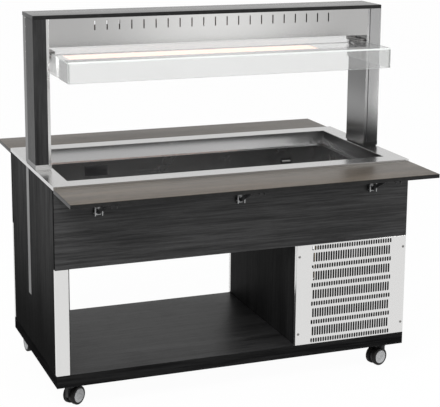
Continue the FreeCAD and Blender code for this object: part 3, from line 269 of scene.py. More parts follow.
def brushedSteel(name, grain, metal=None, gloss=None, strength=0.4, lightAndShadeRamp=None):
    material, tree, shader = newMaterial(name, Metallic=1.0)
    coords = objectCoords(tree, grain)
    sheet = useGroup(tree, brushing, Vector=coords, Metal=opaque(metal or steelLook["metal"]),
        Gloss=gloss or steelLook["gloss"], Strength=strength)
    marks = useGroup(tree, fingerMarks, Vector=coords, Amount=0.05)["Mask"]
    # a ramp paints light and shade into the brushed colour
    colour = paintLightAndShade(tree, sheet["Color"], lightAndShadeRamp) if lightAndShadeRamp else sheet["Color"]
    feed(tree, shader, Base_Color=colour, Roughness=plus(tree, sheet["Roughness"], marks, clamp=True))
    relief(tree, shader, sheet["Height"], steelLook["relief"], 0.35)
    return material


def mottled(name, colour, second, rough, pattern, depth, metallic=0.0, dusty=0.0, **plain):
    # plastics, castings and plated parts: a fine moulded or plated texture, a little uneven in colour
    material, tree, shader = newMaterial(name, Metallic=metallic, **plain)
    coords = objectCoords(tree)
    fine = streaks(tree, coords, (pattern, pattern, pattern), 2.0, 0.6)
    broad = streaks(tree, coords, (pattern * 0.05, pattern * 0.05, pattern * 0.05), 3.0, 0.6)
    blended = mixColour(tree, remap(tree, broad, 0.35, 0.65), opaque(colour), opaque(second))
    if dusty:
        dust = useGroup(tree, lowDust, Vector=coords, Level=0.11)["Mask"]
        blended = mixColour(tree, times(tree, dust, dusty), blended, opaque(dustColour))
    roughness = plus(tree, times(tree, minus(tree, broad, 0.5), 0.2), rough)
    feed(tree, shader, Base_Color=blended, Roughness=roughness)
    relief(tree, shader, fine, depth)
    return material


def clearGlass(name, tint, clear):
    material, tree, shader = newMaterial(name, IOR=1.5, Transmission_Weight=clear, Roughness=0.0)
    coords = objectCoords(tree)
    marks = useGroup(tree, fingerMarks, Vector=coords, Amount=0.25)["Mask"]
    cast = streaks(tree, coords, (1.7, 1.9, 1.9), 2.0)
    paler, duller = (opaque(tuple(c * share for c in tint)) for share in (0.985, 0.95))
    colour = mixColour(tree, remap(tree, cast, 0.3, 0.7), opaque(tint), paler)
    feed(tree, shader, Base_Color=mixColour(tree, marks, colour, duller))
    return material


def litOpal(name, core, rim, strength):
    # an opal sheet lit from behind: brightest along its middle, dimmer towards its edges
    material, tree, shader = newMaterial(name, Emission_Strength=strength, IOR=1.49)
    coords = objectCoords(tree)
    split = addNode(tree, "ShaderNodeSeparateXYZ")
    feed(tree, split, i0=coords)
    prism = streaks(tree, coords, (20, 700, 700), 1.0)
    off = calc(tree, "ABSOLUTE", split.outputs[1])
    off = plus(tree, off, times(tree, minus(tree, prism, 0.5), 0.006))
    glow = mixColour(tree, remap(tree, off, 0.022, 0.070), opaque(core), opaque(rim))
    feed(tree, shader, Base_Color=glow, Emission_Color=glow,
        Roughness=remap(tree, prism, 0.2, 0.8, 0.35, 0.55))
    relief(tree, shader, prism, 0.0002)
    return material


laminateAlong = laminate("laminate_along", "x", "along")
laminateUpright = laminate("laminate_upright", "z", "upright")
# painted shade: the divider's laminate is a darker copy of the upright one for its place inside the
# compartment
laminateInnerPaintedShade = laminate("laminate_inner_painted_shade", "z", "inner")
laminateEnd = laminate("laminate_end", "y", "edge")
laminateEdge = laminate("laminate_edge", "x", "edge")
laminateCladding = laminate("laminate_cladding", "z", "cladding")
laminateTray = laminate("laminate_tray", "x", "tray")
laminateTop = laminate("laminate_top", "x", "top")
edgeBand = mottled("edge_band", 0.010, 0.014, 0.34, 900, 0.00004, Specular_IOR_Level=0.12)
steelAlong = brushedSteel("steel_along", "x")
steelUpright = brushedSteel("steel_upright", "z")
# painted highlight: the fascia's ramp makes it brighter along the middle and darker towards the ends
steelFasciaPaintedHighlight = brushedSteel("steel_fascia_painted_highlight", "x", (0.60, 0.597, 0.59), 0.20, lightAndShadeRamp=(0, 0.02, 0.60, 1.32, 0.80))
steelClamp = brushedSteel("steel_clamp", "x", (0.24, 0.235, 0.23), 0.30)
# lit and shaded copies of the right post's steel: a dark one for its sides and a brighter one for its front,
# both with painted shade darkening towards the foot
steelPostPaintedShade = brushedSteel("steel_post_painted_shade", "z", 0.25, 0.22, lightAndShadeRamp=(2, 0.93, 1.08, 0.40, 1.0))
steelPostFrontPaintedLight = brushedSteel("steel_post_front_painted_light", "z", 0.45, 0.22, lightAndShadeRamp=(2, 0.93, 1.12, 0.06, 1.0))
# painted shade: a darkened copy of the steel for the end strips, the bracket pins and the left post's outer
# side, darker still towards the foot
steelStripPaintedShade = brushedSteel("steel_strip_painted_shade", "z", 0.13, 0.34, lightAndShadeRamp=(2, 0.42, 0.85, 0.40, 1.0))
# painted shade: a near-black copy of the steel for the well collar's end walls
steelPaintedDeepShade = brushedSteel("steel_painted_deep_shade", "x", 0.024, 0.34)
# painted shade: a darker copy of the deck steel for the tank down inside the well
steelWellPaintedShade = brushedSteel("steel_well_painted_shade", "x", 0.36, 0.26)
# painted shade: a darker copy of the deck steel for the well collar and the deck's end faces
steelPaintedMidShade = brushedSteel("steel_painted_mid_shade", "x", 0.58, 0.24)
galvanised = brushedSteel("galvanised_sheet", "x", (0.34, 0.343, 0.346), 0.38, 0.8)
zincPlate = mottled("zinc_plate", (0.62, 0.62, 0.60), 0.50, 0.30, 900, 0.00003, 1.0)
chrome = mottled("polished_chrome", 0.80, (0.74, 0.74, 0.75), 0.11, 700, 0.00001, 1.0)
blackMetal = mottled("black_enamel", (0.012, 0.012, 0.013), (0.02, 0.02, 0.021), 0.34, 1500, 0.00005)
copper = mottled("drawn_copper", (0.72, 0.35, 0.22), (0.55, 0.26, 0.17), 0.32, 800, 0.00004, 1.0)
brass = mottled("turned_brass", (0.70, 0.52, 0.25), (0.58, 0.42, 0.20), 0.30, 900, 0.00003, 1.0)
redGrip = mottled("red_dipped_vinyl", (0.46, 0.022, 0.016), (0.36, 0.018, 0.014), 0.42, 500, 0.00008)
# black coating on the condenser's fins and tubes, kept this dark also as painted shade for the machine
# compartment seen through the grilles
finCoatAndShade = mottled("coated_fins_and_painted_shade", 0.010, (0.016, 0.015, 0.014), 0.55, 1100, 0.00003)
fanMetal = brushedSteel("fan_stock", "z", 0.22, 0.42, 0.8)
foamSkin = mottled("cut_foam", (0.55, 0.47, 0.30), (0.45, 0.38, 0.24), 0.85, 260, 0.0006)
whitePlastic = mottled("white_plastic", (0.74, 0.74, 0.72), (0.70, 0.70, 0.67), 0.40, 1300, 0.00005)
blackPlastic = mottled("black_plastic", (0.014, 0.014, 0.015), (0.021, 0.021, 0.022), 0.42, 1600, 0.00008)
greyDisc = mottled("grey_disc", (0.34, 0.345, 0.35), (0.30, 0.305, 0.31), 0.36, 1400, 0.00005, dusty=0.06)
casterPlastic = mottled("caster_plastic", (0.016, 0.016, 0.017), (0.011, 0.011, 0.012), 0.42, 1500, 0.00006,
    dusty=0.03, Specular_IOR_Level=0.22)
tyreRubber = mottled("tyre_rubber", 0.006, (0.010, 0.009, 0.009), 0.55, 700, 0.00012, dusty=0.03,
    Specular_IOR_Level=0.12)
guardGlass = clearGlass("guard_glass", (0.80, 0.805, 0.80), 0.90)
topGlass = clearGlass("top_glass", (0.89, 0.895, 0.89), 0.95)
glassEdge = mottled("polished_glass_edge", (0.70, 0.72, 0.71), (0.66, 0.68, 0.67), 0.14, 300, 0.00001)
lampOpal = litOpal("lit_opal", (1.0, 0.62, 0.50), (0.80, 0.66, 0.60), 1.5)

nodeFinish = {laminateAlong: ["base_board", "ceiling_board", "front_apron", "rear_apron"],
    laminateUpright: ["end_panels_front", "end_panels_rear"], laminateInnerPaintedShade: ["divider_panel"],
    laminateCladding: ["left_post_cladding"], laminateTray: ["front_tray", "rear_tray"],
    laminateTop: ["top_board"], steelAlong: ["deck_frame", "front_grille", "rear_grille", "light_pan"],
    steelFasciaPaintedHighlight: ["front_fascia", "rear_fascia"], steelClamp: ["glass_clamps"],
    steelUpright: ["left_post", "corner_uprights"], steelPostPaintedShade: ["right_post"],
    steelStripPaintedShade: ["end_strips", "bracket_pins"], steelWellPaintedShade: ["well_tank"], steelPaintedMidShade: ["well_collar"],
    guardGlass: ["glass_top", "glass_front", "glass_sides"], chrome: ["clamp_studs", "grille_screws"],
    zincPlate: ["bracket_wall_leaves"], blackMetal: ["front_tray_leaves", "rear_tray_leaves", "front_stays",
    "rear_stays", "compressor", "fan_motor"], finCoatAndShade: ["condenser"], fanMetal: ["fan_blade"],
    copper: ["evaporator_coil"], brass: ["drain_pipe"], redGrip: ["drain_lever"], foamSkin: ["insulation"],
    lampOpal: ["lamp_diffuser"], whitePlastic: ["lamp_driver"], galvanised: ["lamp_bar", "caster_plates"],
    blackPlastic: ["thermostat_knob", "power_switch", "light_switch", "power_inlet", "control_panel"],
    casterPlastic: [name for name in nodes if name.endswith("_housing")],
    tyreRubber: [name for name in nodes if name.endswith("_wheels")],}
for finish, names in nodeFinish.items():
    for name in names:
        mesh = nodes[name].data
        mesh.materials.clear()
        mesh.materials.append(finish)
bare = set(nodes) - {name for names in nodeFinish.values() for name in names}
print("materials on the CAD nodes; left over:", sorted(bare))


# Helpers for pieces: closed bodies gathered in one bmesh, each with its own material slot.
turnTo = {"z": Matrix(), "-z": Matrix.Rotation(math.pi, 4, "X"), "y": Matrix.Rotation(-math.pi / 2, 4, "X"),
    "-y": Matrix.Rotation(math.pi / 2, 4, "X"), "x": Matrix.Rotation(math.pi / 2, 4, "Y"),
    "-x": Matrix.Rotation(-math.pi / 2, 4, "Y"),}


def addBox(bm, low, high, slot=0, round=0.0, steps=2, spin=None):
    low, high = Vector(low), Vector(high)
    verts = bmesh.ops.create_cube(bm, size=1.0)["verts"]
    bmesh.ops.scale(bm, vec=high - low, verts=verts)
    if round:
        edges = list({edge for vert in verts for edge in vert.link_edges})
        made = bmesh.ops.bevel(bm, geom=edges, offset=round, segments=steps, profile=0.5, affect="EDGES",
            clamp_overlap=True)
        verts = list({vert for face in made["faces"] for vert in face.verts})
    for face in {face for vert in verts for face in vert.link_faces}:
        face.material_index = slot
    place = Matrix.Translation((low + high) / 2) @ (spin or Matrix())
    bmesh.ops.transform(bm, matrix=place, verts=verts)


def addBars(bm, low, high, band, slot=0, round=0.0):
    # four bars round the rectangle that the corners span in XZ
    for start, end in (((low[0], low[2]), (high[0], low[2] + band)),
            ((low[0], high[2] - band), (high[0], high[2])), ((low[0], low[2]), (low[0] + band, high[2])),
            ((high[0] - band, low[2]), (high[0], high[2]))):
        addBox(bm, (start[0], low[1], start[1]), (end[0], high[1], end[1]), slot, round)


def addLathe(bm, profile, base, axis="z", steps=32, slot=0, closed=False):
    # profile: (radius, height) pairs; the section closes on itself or on the axis
    place = Matrix.Translation(base) @ turnTo[axis]
    rings = []
    for radius, rise in profile:
        count = steps if radius > 1e-7 else 1
        spots = [2 * math.pi * k / steps for k in range(count)]
        rings.append([bm.verts.new(place @ Vector((radius * math.cos(a), radius * math.sin(a), rise)))
            for a in spots])
    pairs = list(zip(rings, rings[1:] + ([rings[0]] if closed else [])))
    for low, high in pairs:
        for k in range(steps):
            after = (k + 1) % steps
            corners = [low[k % len(low)], low[after % len(low)], high[after % len(high)], high[k % len(high)]]
            corners = list(dict.fromkeys(corners))
            if len(corners) > 2:
                bm.faces.new(corners).material_index = slot
    if not closed:
        for ring in (rings[0], rings[-1]):
            if len(ring) > 1:
                bm.faces.new(ring).material_index = slot


def arc(centreR, centreH, radius, start, end, count=5):
    angles = [math.radians(start + (end - start) * k / count) for k in range(count + 1)]
    return [(centreR + radius * math.cos(a), centreH + radius * math.sin(a)) for a in angles]


def addMesh(bm, mesh, slot=0, place=None):
    known = set(bm.faces)
    if place is not None:
        mesh.transform(place)
    bm.from_mesh(mesh)
    for face in bm.faces:
        if face not in known:
            face.material_index = slot


def addPipe(bm, points, radius, slot=0):
    curve = bpy.data.curves.new("run", "CURVE")
    curve.dimensions = "3D"
    curve.bevel_depth = radius
    curve.bevel_resolution = 2
    curve.use_fill_caps = True
    spline = curve.splines.new("NURBS")
    spline.points.add(len(points) - 1)
    for point, spot in zip(spline.points, points):
        point.co = (*spot, 1.0)
    spline.order_u = 3
    spline.use_endpoint_u = True
    spline.resolution_u = 5
    holder = bpy.data.objects.new("run", curve)
    scene.collection.objects.link(holder)
    grown = bpy.data.meshes.new_from_object(holder.evaluated_get(bpy.context.evaluated_depsgraph_get()))
    bpy.data.objects.remove(holder)
    addMesh(bm, grown, slot)


def finishPiece(name, bm, finishes, body, replaced=(), smooth=32):
    bmesh.ops.recalc_face_normals(bm, faces=bm.faces)
    mesh = bpy.data.meshes.new(name)
    bm.to_mesh(mesh)
    bm.free()
    for finish in finishes:
        mesh.materials.append(finish)
    mesh.shade_smooth()
    mesh.set_sharp_from_angle(angle=math.radians(smooth))
    piece = bpy.data.objects.new(name, mesh)
    scene.collection.objects.link(piece)
    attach(piece, body)
    if replaced:
        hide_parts(*replaced)
    print("piece:", name, len(mesh.polygons), "faces")
    return piece


# Boards and folded sheets: the CAD forms with their edges eased, and a facing on the sides that show one.
def soften(node, finishes, ease, body="cabinet", facing=None, shrink=0.0):
    bm = bmesh.new()
    bm.from_mesh(nodes[node].data)
    bmesh.ops.remove_doubles(bm, verts=bm.verts, dist=0.00001)
    bmesh.ops.dissolve_limit(bm, angle_limit=math.radians(1), verts=bm.verts, edges=bm.edges)
    for face in bm.faces:
        face.material_index = int(facing(face.normal)) if facing else 0
    sharp = [edge for edge in bm.edges if len(edge.link_faces) == 2
        and edge.calc_face_angle(0) > math.radians(35)]
    bmesh.ops.bevel(bm, geom=sharp, offset=ease, segments=1, profile=0.5, affect="EDGES", clamp_overlap=True)
    if shrink:
        low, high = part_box(node)
        span = high - low
        for vert in bm.verts:
            for axis in (1, 2):
                share = (vert.co[axis] - low[axis]) / span[axis]
                vert.co[axis] += shrink * (1 - 2 * share)
    return finishPiece(node + "_eased", bm, finishes, body, [node], 28)


easedEdges = {"board": 0.0008, "tray": 0.0014, "sheet": 0.0004, "bracket": 0.0006, "cast": 0.0010,
    "glass": 0.0006}
for node in ("ceiling_board", "front_apron", "rear_apron"):
    soften(node, [laminateAlong, laminateEnd], easedEdges["board"],
        facing=lambda n: abs(n.x) > 0.7)
soften("base_board", [laminateAlong, laminateEnd, laminateEdge], easedEdges["board"],
    facing=lambda n: 1 if abs(n.x) > 0.7 else 2 if abs(n.z) < 0.7 else 0)
for node, finish in (("end_panels_front", laminateUpright), ("end_panels_rear", laminateUpright),
        ("divider_panel", laminateInnerPaintedShade)):
    soften(node, [finish], easedEdges["board"])
soften("left_post_cladding", [laminateCladding], easedEdges["board"])
soften("top_board", [edgeBand, laminateTop], easedEdges["board"],
    facing=lambda n: abs(n.z) > 0.7)
for side in ("front", "rear"):
    soften(side + "_tray", [edgeBand, laminateTray], easedEdges["tray"], side + "_tray_shelf",
        lambda n: n.z > 0.7)
    soften(side + "_tray_leaves", [blackMetal], easedEdges["sheet"], side + "_tray_shelf")
    soften(side + "_stays", [blackMetal], easedEdges["bracket"], side + "_stay_set")
    soften(side + "_fascia", [steelFasciaPaintedHighlight], easedEdges["sheet"])
for node, finish in (("end_strips", steelStripPaintedShade), ("corner_uprights", steelUpright)):
    soften(node, [finish], easedEdges["sheet"])
# painted light and shade: the right post's front faces take the brighter steel, its other faces the darker
# one
soften("right_post", [steelPostPaintedShade, steelPostFrontPaintedLight], easedEdges["sheet"], facing=lambda n: n.y < -0.7)
# painted shade: the deck's end faces take the darker collar steel, its top the plain steel
soften("deck_frame", [steelAlong, steelPaintedMidShade], easedEdges["sheet"], facing=lambda n: abs(n.x) > 0.7)
# painted shade: the collar's end walls take the near-black steel, the rest the darker collar steel
soften("well_collar", [steelPaintedMidShade, steelPaintedDeepShade], easedEdges["sheet"],
    facing=lambda n: abs(n.x) > 0.4 and abs(n.z) < 0.7)
# painted shade: the left post's outward face takes the darkened strip steel, its other faces the plain steel
soften("left_post", [steelUpright, steelStripPaintedShade], easedEdges["sheet"], facing=lambda n: n.x < -0.7)
# painted light and shade: the leaves' front and back faces take bright galvanised steel, their other faces
# black enamel standing for shade
soften("bracket_wall_leaves", [blackMetal, galvanised], easedEdges["bracket"],
    facing=lambda n: abs(n.y) > 0.7)
soften("glass_clamps", [steelClamp], easedEdges["cast"])
for name in [name for name in nodes if name.endswith("_housing")]:
    soften(name, [casterPlastic], easedEdges["cast"], name[:-len("_housing")])
for name, body in (("power_switch", "power_rocker"), ("light_switch", "light_rocker")):
    soften(name, [blackPlastic], easedEdges["bracket"], body)

# Glass panes with polished edges, a hair clear of each other where they meet.
for node, axis, glass in (("glass_top", 2, topGlass), ("glass_front", 1, guardGlass),
        ("glass_sides", 0, guardGlass)):
    soften(node, [glassEdge, glass], easedEdges["glass"], shrink=0.00006, facing=lambda n,
        axis=axis: abs(n[axis]) > 0.9)


# Geometry Nodes for what repeats: perforations, screws, rows of blocks and rings of marks.
def nodesTree(name, inputs):
    tree, given, out = newGroup(name, "GeometryNodeTree", [("Geometry", "Geometry", None)] + inputs,
        [("Geometry", "Geometry")])
    tree.is_modifier = True
    return tree, given, out


def painted(tree, out, geometry, material):
    solid = put(tree, "GeometryNodeRealizeInstances", Geometry=geometry)
    feed(tree, out, Geometry=put(tree, "GeometryNodeSetMaterial", Geometry=solid, Material=material))


def joined(tree, *parts):
    node = addNode(tree, "GeometryNodeJoinGeometry")
    for part in parts:
        tree.links.new(part, node.inputs[0])
    return node.outputs[0]


def makeSlottedSheet():
    # rows of short and long slots in turn, each row half a pitch on, cut in a flat sheet in XY
    tree, given, out = nodesTree("slottedSheet", [("Width", "Float", 0.5), ("Height", "Float", 0.4),
        ("Sheet", "Float", 0.002), ("Slot Width", "Float", 0.0055), ("Short Slot", "Float", 0.019),
        ("Long Slot", "Float", 0.039), ("Row Gap", "Float", 0.0103), ("Pitch", "Float", 0.011),
        ("Columns", "Int", 33), ("Row Pairs", "Int", 5), ("Material", "Material", None)])
    rowPitch = plus(tree, plus(tree, given["Short Slot"], given["Long Slot"]),
        times(tree, given["Row Gap"], 2.0))
    rows = []
    for length, columnsLess, rowsMore in (("Short Slot", 0, 1), ("Long Slot", 1, 0)):
        columns = minus(tree, given["Columns"], columnsLess)
        count = plus(tree, given["Row Pairs"], rowsMore)
        grid = addNode(tree, "GeometryNodeMeshGrid")
        feed(tree, grid, Size_X=times(tree, minus(tree, columns, 1.0), given["Pitch"]),
            Size_Y=times(tree, minus(tree, count, 1.0), rowPitch), Vertices_X=columns, Vertices_Y=count)
        outline = put(tree, "GeometryNodeCurvePrimitiveQuadrilateral", Width=given["Slot Width"],
            Height=given[length])
        ends = feed(tree, addNode(tree, "GeometryNodeFilletCurve", mode="POLY"), Curve=outline, Count=3,
            Radius=times(tree, given["Slot Width"], 0.49))
        rows.append(put(tree, "GeometryNodeInstanceOnPoints", Points=grid.outputs[0], Instance=ends))
    edge = put(tree, "GeometryNodeCurvePrimitiveQuadrilateral", Width=given["Width"], Height=given["Height"])
    wires = put(tree, "GeometryNodeRealizeInstances", Geometry=joined(tree, edge, *rows))
    face = put(tree, "GeometryNodeFillCurve", Curve=wires)
    front = put(tree, "GeometryNodeExtrudeMesh", Mesh=face, Offset_Scale=given["Sheet"], Individual=False)
    back = put(tree, "GeometryNodeFlipFaces", Mesh=face)
    sheet = put(tree, "GeometryNodeMergeByDistance", Geometry=joined(tree, front, back), Distance=0.00002)
    painted(tree, out, sheet, given["Material"])
    return tree


def makePanScrews():
    # a pan-head screw with a cross recess on every point, its head towards Facing, each turned its own way
    tree, given, out = nodesTree("panScrews", [("Head", "Float", 0.0045), ("Rise", "Float", 0.002),
        ("Facing", "Vector", (0.0, -1.0, 0.0)), ("Seed", "Int", 3), ("Material", "Material", None)])
    ball = put(tree, "GeometryNodeMeshUVSphere", Segments=20, Rings=10, Radius=1.0)
    size = put(tree, "ShaderNodeCombineXYZ", i0=given["Head"], i1=given["Head"], i2=given["Rise"])
    dome = put(tree, "GeometryNodeTransform", Geometry=ball, Scale=size)
    bars = []
    for wide, deep in ((1.1, 0.2), (0.2, 1.1)):
        extent = put(tree, "ShaderNodeCombineXYZ", i0=times(tree, given["Head"], wide),
            i1=times(tree, given["Head"], deep), i2=given["Rise"])
        bar = put(tree, "GeometryNodeMeshCube", Size=extent)
        up = put(tree, "ShaderNodeCombineXYZ", i2=given["Rise"])
        bars.append(put(tree, "GeometryNodeTransform", Geometry=bar, Translation=up))
    cross = feed(tree, addNode(tree, "GeometryNodeMeshBoolean", operation="UNION"), i1=joined(tree, *bars))
    head = feed(tree, addNode(tree, "GeometryNodeMeshBoolean", operation="DIFFERENCE"), i0=dome, i1=cross)
    aim = feed(tree, addNode(tree, "FunctionNodeAlignRotationToVector", axis="Z"), Vector=given["Facing"])
    placed = put(tree, "GeometryNodeInstanceOnPoints", Points=given["Geometry"], Instance=head, Rotation=aim)
    chance = addNode(tree, "FunctionNodeRandomValue", data_type="FLOAT")
    chance.inputs[2].default_value = 0.0
    chance.inputs[3].default_value = 3.1
    tree.links.new(given["Seed"], chance.inputs[8])
    spin = put(tree, "ShaderNodeCombineXYZ", i2=chance.outputs[1])
    turned = put(tree, "GeometryNodeRotateInstances", Instances=placed, Rotation=spin)
    painted(tree, out, turned, given["Material"])
    return tree


def makeBlockRow():
    # equal blocks in a straight row
    tree, given, out = nodesTree("blockRow", [("Count", "Int", 10), ("Start", "Vector", (0.0, 0.0, 0.0)),
        ("Step", "Vector", (0.01, 0.0, 0.0)), ("Size", "Vector", (0.001, 0.01, 0.01)),
        ("Material", "Material", None)])
    line = feed(tree, addNode(tree, "GeometryNodeMeshLine", mode="OFFSET"), Count=given["Count"],
        Start_Location=given["Start"], Offset=given["Step"])
    block = put(tree, "GeometryNodeMeshCube", Size=given["Size"])
    painted(tree, out, put(tree, "GeometryNodeInstanceOnPoints", Points=line, Instance=block),
        given["Material"])
    return tree


def makeMarkRing():
    # blocks on an arc in XY, each with its X along the radius
    tree, given, out = nodesTree("markRing", [("Count", "Int", 12), ("Radius", "Float", 0.02),
        ("First", "Float", 0.0), ("Step", "Float", 0.5), ("Size", "Vector", (0.003, 0.001, 0.001)),
        ("Material", "Material", None)])
    line = feed(tree, addNode(tree, "GeometryNodeMeshLine", mode="OFFSET"), Count=given["Count"])
    number = addNode(tree, "GeometryNodeInputIndex").outputs[0]
    angle = plus(tree, given["First"], times(tree, number, given["Step"]))
    spot = feed(tree, addNode(tree, "ShaderNodeCombineXYZ"),
        i0=times(tree, given["Radius"], calc(tree, "COSINE", angle)),
        i1=times(tree, given["Radius"], calc(tree, "SINE", angle)))
    points = put(tree, "GeometryNodeSetPosition", Geometry=line, Position=spot)
    turn = put(tree, "ShaderNodeCombineXYZ", i2=angle)
    block = put(tree, "GeometryNodeMeshCube", Size=given["Size"])
    painted(tree, out, put(tree, "GeometryNodeInstanceOnPoints", Points=points, Instance=block,
        Rotation=turn), given["Material"])
    return tree


slottedSheet = makeSlottedSheet()
panScrews = makePanScrews()
blockRow = makeBlockRow()
markRing = makeMarkRing()


def grow(tree, values, points=()):
    # runs a tree on loose points and hands back a plain mesh
    seed = bpy.data.meshes.new("seed")
    seed.from_pydata([tuple(point) for point in points], [], [])
    holder = bpy.data.objects.new("seed", seed)
    modifier = holder.modifiers.new("grow", "NODES")
    modifier.node_group = tree
    for item in tree.interface.items_tree:
        if item.in_out == "INPUT" and item.name in values:
            modifier[item.identifier] = values[item.name]
    scene.collection.objects.link(holder)
    grown = bpy.data.meshes.new_from_object(holder.evaluated_get(bpy.context.evaluated_depsgraph_get()))
    bpy.data.objects.remove(holder)
    return grown


def boxOf(name):
    low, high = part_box(name)
    return low, high, (low + high) / 2


# Grilles: a slotted sheet with a rim folded back all round.
grilleValues = {"Width": 0.493, "Height": 0.420, "Sheet": 0.0012, "Slot Width": 0.0074, "Short Slot": 0.019,
    "Long Slot": 0.039, "Row Gap": 0.0103, "Pitch": 0.011, "Columns": 33, "Row Pairs": 5}


def buildGrille(name, side):
    low, high, centre = boxOf(name)
    face = low.y if side < 0 else high.y
    sheet = grilleValues["Sheet"]
    bm = bmesh.new()
    plate = grow(slottedSheet, {**grilleValues, "Material": steelAlong})
    aim = turnTo["-y"] if side < 0 else Matrix.Rotation(math.pi, 4, "Z") @ turnTo["-y"]
    addMesh(bm, plate, 0, Matrix.Translation((centre.x, face - side * sheet, centre.z)) @ aim)
    near, far = sorted((face - side * sheet * 0.5, face - side * 0.0175))
    halfX, halfZ = grilleValues["Width"] / 2, grilleValues["Height"] / 2
    rims = [((-halfX - 0.001, -halfZ - 0.001), (-halfX + sheet, halfZ + 0.001)),
        ((halfX - sheet, -halfZ - 0.001), (halfX + 0.001, halfZ + 0.001)),
        ((-halfX, -halfZ - 0.001), (halfX, -halfZ + sheet)),
        ((-halfX, halfZ - sheet), (halfX, halfZ + 0.001))]
    for start, end in rims:
        addBox(bm, (centre.x + start[0], near, centre.z + start[1]),
            (centre.x + end[0], far, centre.z + end[1]), 0, 0.0005)
    finishPiece(name + "_sheet", bm, [steelAlong], "cabinet", [name])


buildGrille("front_grille", -1)
buildGrille("rear_grille", 1)


# Screws in the grilles' corners.
screwValues = {"head": 0.0047, "rise": 0.0022, "insetX": 0.0125, "insetZ": 0.047}
low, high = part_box("front_grille")
spots = [(x, z) for x in (low.x + screwValues["insetX"], high.x - screwValues["insetX"])
    for z in (low.z + screwValues["insetZ"], high.z - screwValues["insetZ"])]
bm = bmesh.new()
for side, node in ((-1, "front_grille"), (1, "rear_grille")):
    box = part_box(node)
    face = box[0].y if side < 0 else box[1].y
    heads = grow(panScrews, {"Head": screwValues["head"], "Rise": screwValues["rise"],
        "Facing": (0.0, float(side), 0.0), "Seed": 4 + side, "Material": steelClamp},
        [(x, face, z) for x, z in spots])
    addMesh(bm, heads)
    for x, z in spots:
        addLathe(bm, [(0, -0.0003), (0.0056, -0.0003), (0.0056, 0.0003), (0.0052, 0.0006), (0, 0.0006)],
            (x, face, z), "-y" if side < 0 else "y", 28)
finishPiece("grille_screw_heads", bm, [steelClamp], "cabinet", ["grille_screws"])


# Studs through the glass guard: domed heads outside, a cap on each clamp's leaf.
studValues = {"radius": 0.0049, "head": 0.0078, "dome": 0.0038, "x": 0.6555, "rows": (-0.010, 0.040),
    "z": 1.327, "reach": 0.0215, "capX": 0.6685, "capY": -0.008, "capDrop": 0.004}
bm = bmesh.new()
low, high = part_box("clamp_studs")
clampTop = high.z - studValues["capDrop"]
for side in (-1, 1):
    axis = "x" if side > 0 else "-x"
    for y in studValues["rows"]:
        addLathe(bm, [(0, -0.0045), (0.0035, -0.0043), (0.0062, -0.0034), (studValues["head"], -0.0012),
            (studValues["head"], 0.0002), (studValues["radius"], 0.0002),
            (studValues["radius"], studValues["reach"]), (0, studValues["reach"])],
            (side * studValues["x"], y, studValues["z"]), axis, 28)
    head, dome = studValues["head"], studValues["dome"]
    addLathe(bm, [(0, -0.0002), (head, -0.0002), (head, 0.0010), (head * 0.86, dome * 0.62),
        (head * 0.5, dome * 0.92), (0, dome)], (side * studValues["capX"], studValues["capY"], clampTop), "z",
        32)
finishPiece("guard_studs", bm, [chrome], "cabinet", ["clamp_studs"])


# A black strip set in the groove down the right post's front: painted shade for the groove's dark line.
grooveShadeValues = {"left": 0.6927, "right": 0.6953, "front": -0.0892, "back": -0.0863, "foot": 0.9173}
bm = bmesh.new()
low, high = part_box("right_post")
addBox(bm, (grooveShadeValues["left"], grooveShadeValues["front"] + 0.0006, grooveShadeValues["foot"]),
    (grooveShadeValues["right"], grooveShadeValues["back"], high.z - 0.0005), 0, 0.0006)
for x in (grooveShadeValues["left"] + 0.0007, grooveShadeValues["right"] - 0.0007):
    addBox(bm, (x - 0.0004, grooveShadeValues["front"] + 0.0002, grooveShadeValues["foot"]),
        (x + 0.0004, grooveShadeValues["back"], high.z - 0.0005), 0, 0.0002)
finishPiece("post_groove_shade_strip", bm, [blackPlastic], "cabinet", ())


# Caster wheels: tyres with rounded shoulders and a dished grey disc on each side.
wheelValues = {"radius": 0.0375, "hub": 0.028, "near": 0.008, "far": 0.0265, "shoulder": 0.0038,
    "trail": 0.027, "groove": 0.0005}
casterSeat = {"x": 0.680, "y": 0.307, "top": 0.1, "race": 0.0873}
corners = {"front_left": (-1, -1, 35.6), "front_right": (1, -1, 197.3), "rear_left": (-1, 1, 95.0),
    "rear_right": (1, 1, 152.0)}


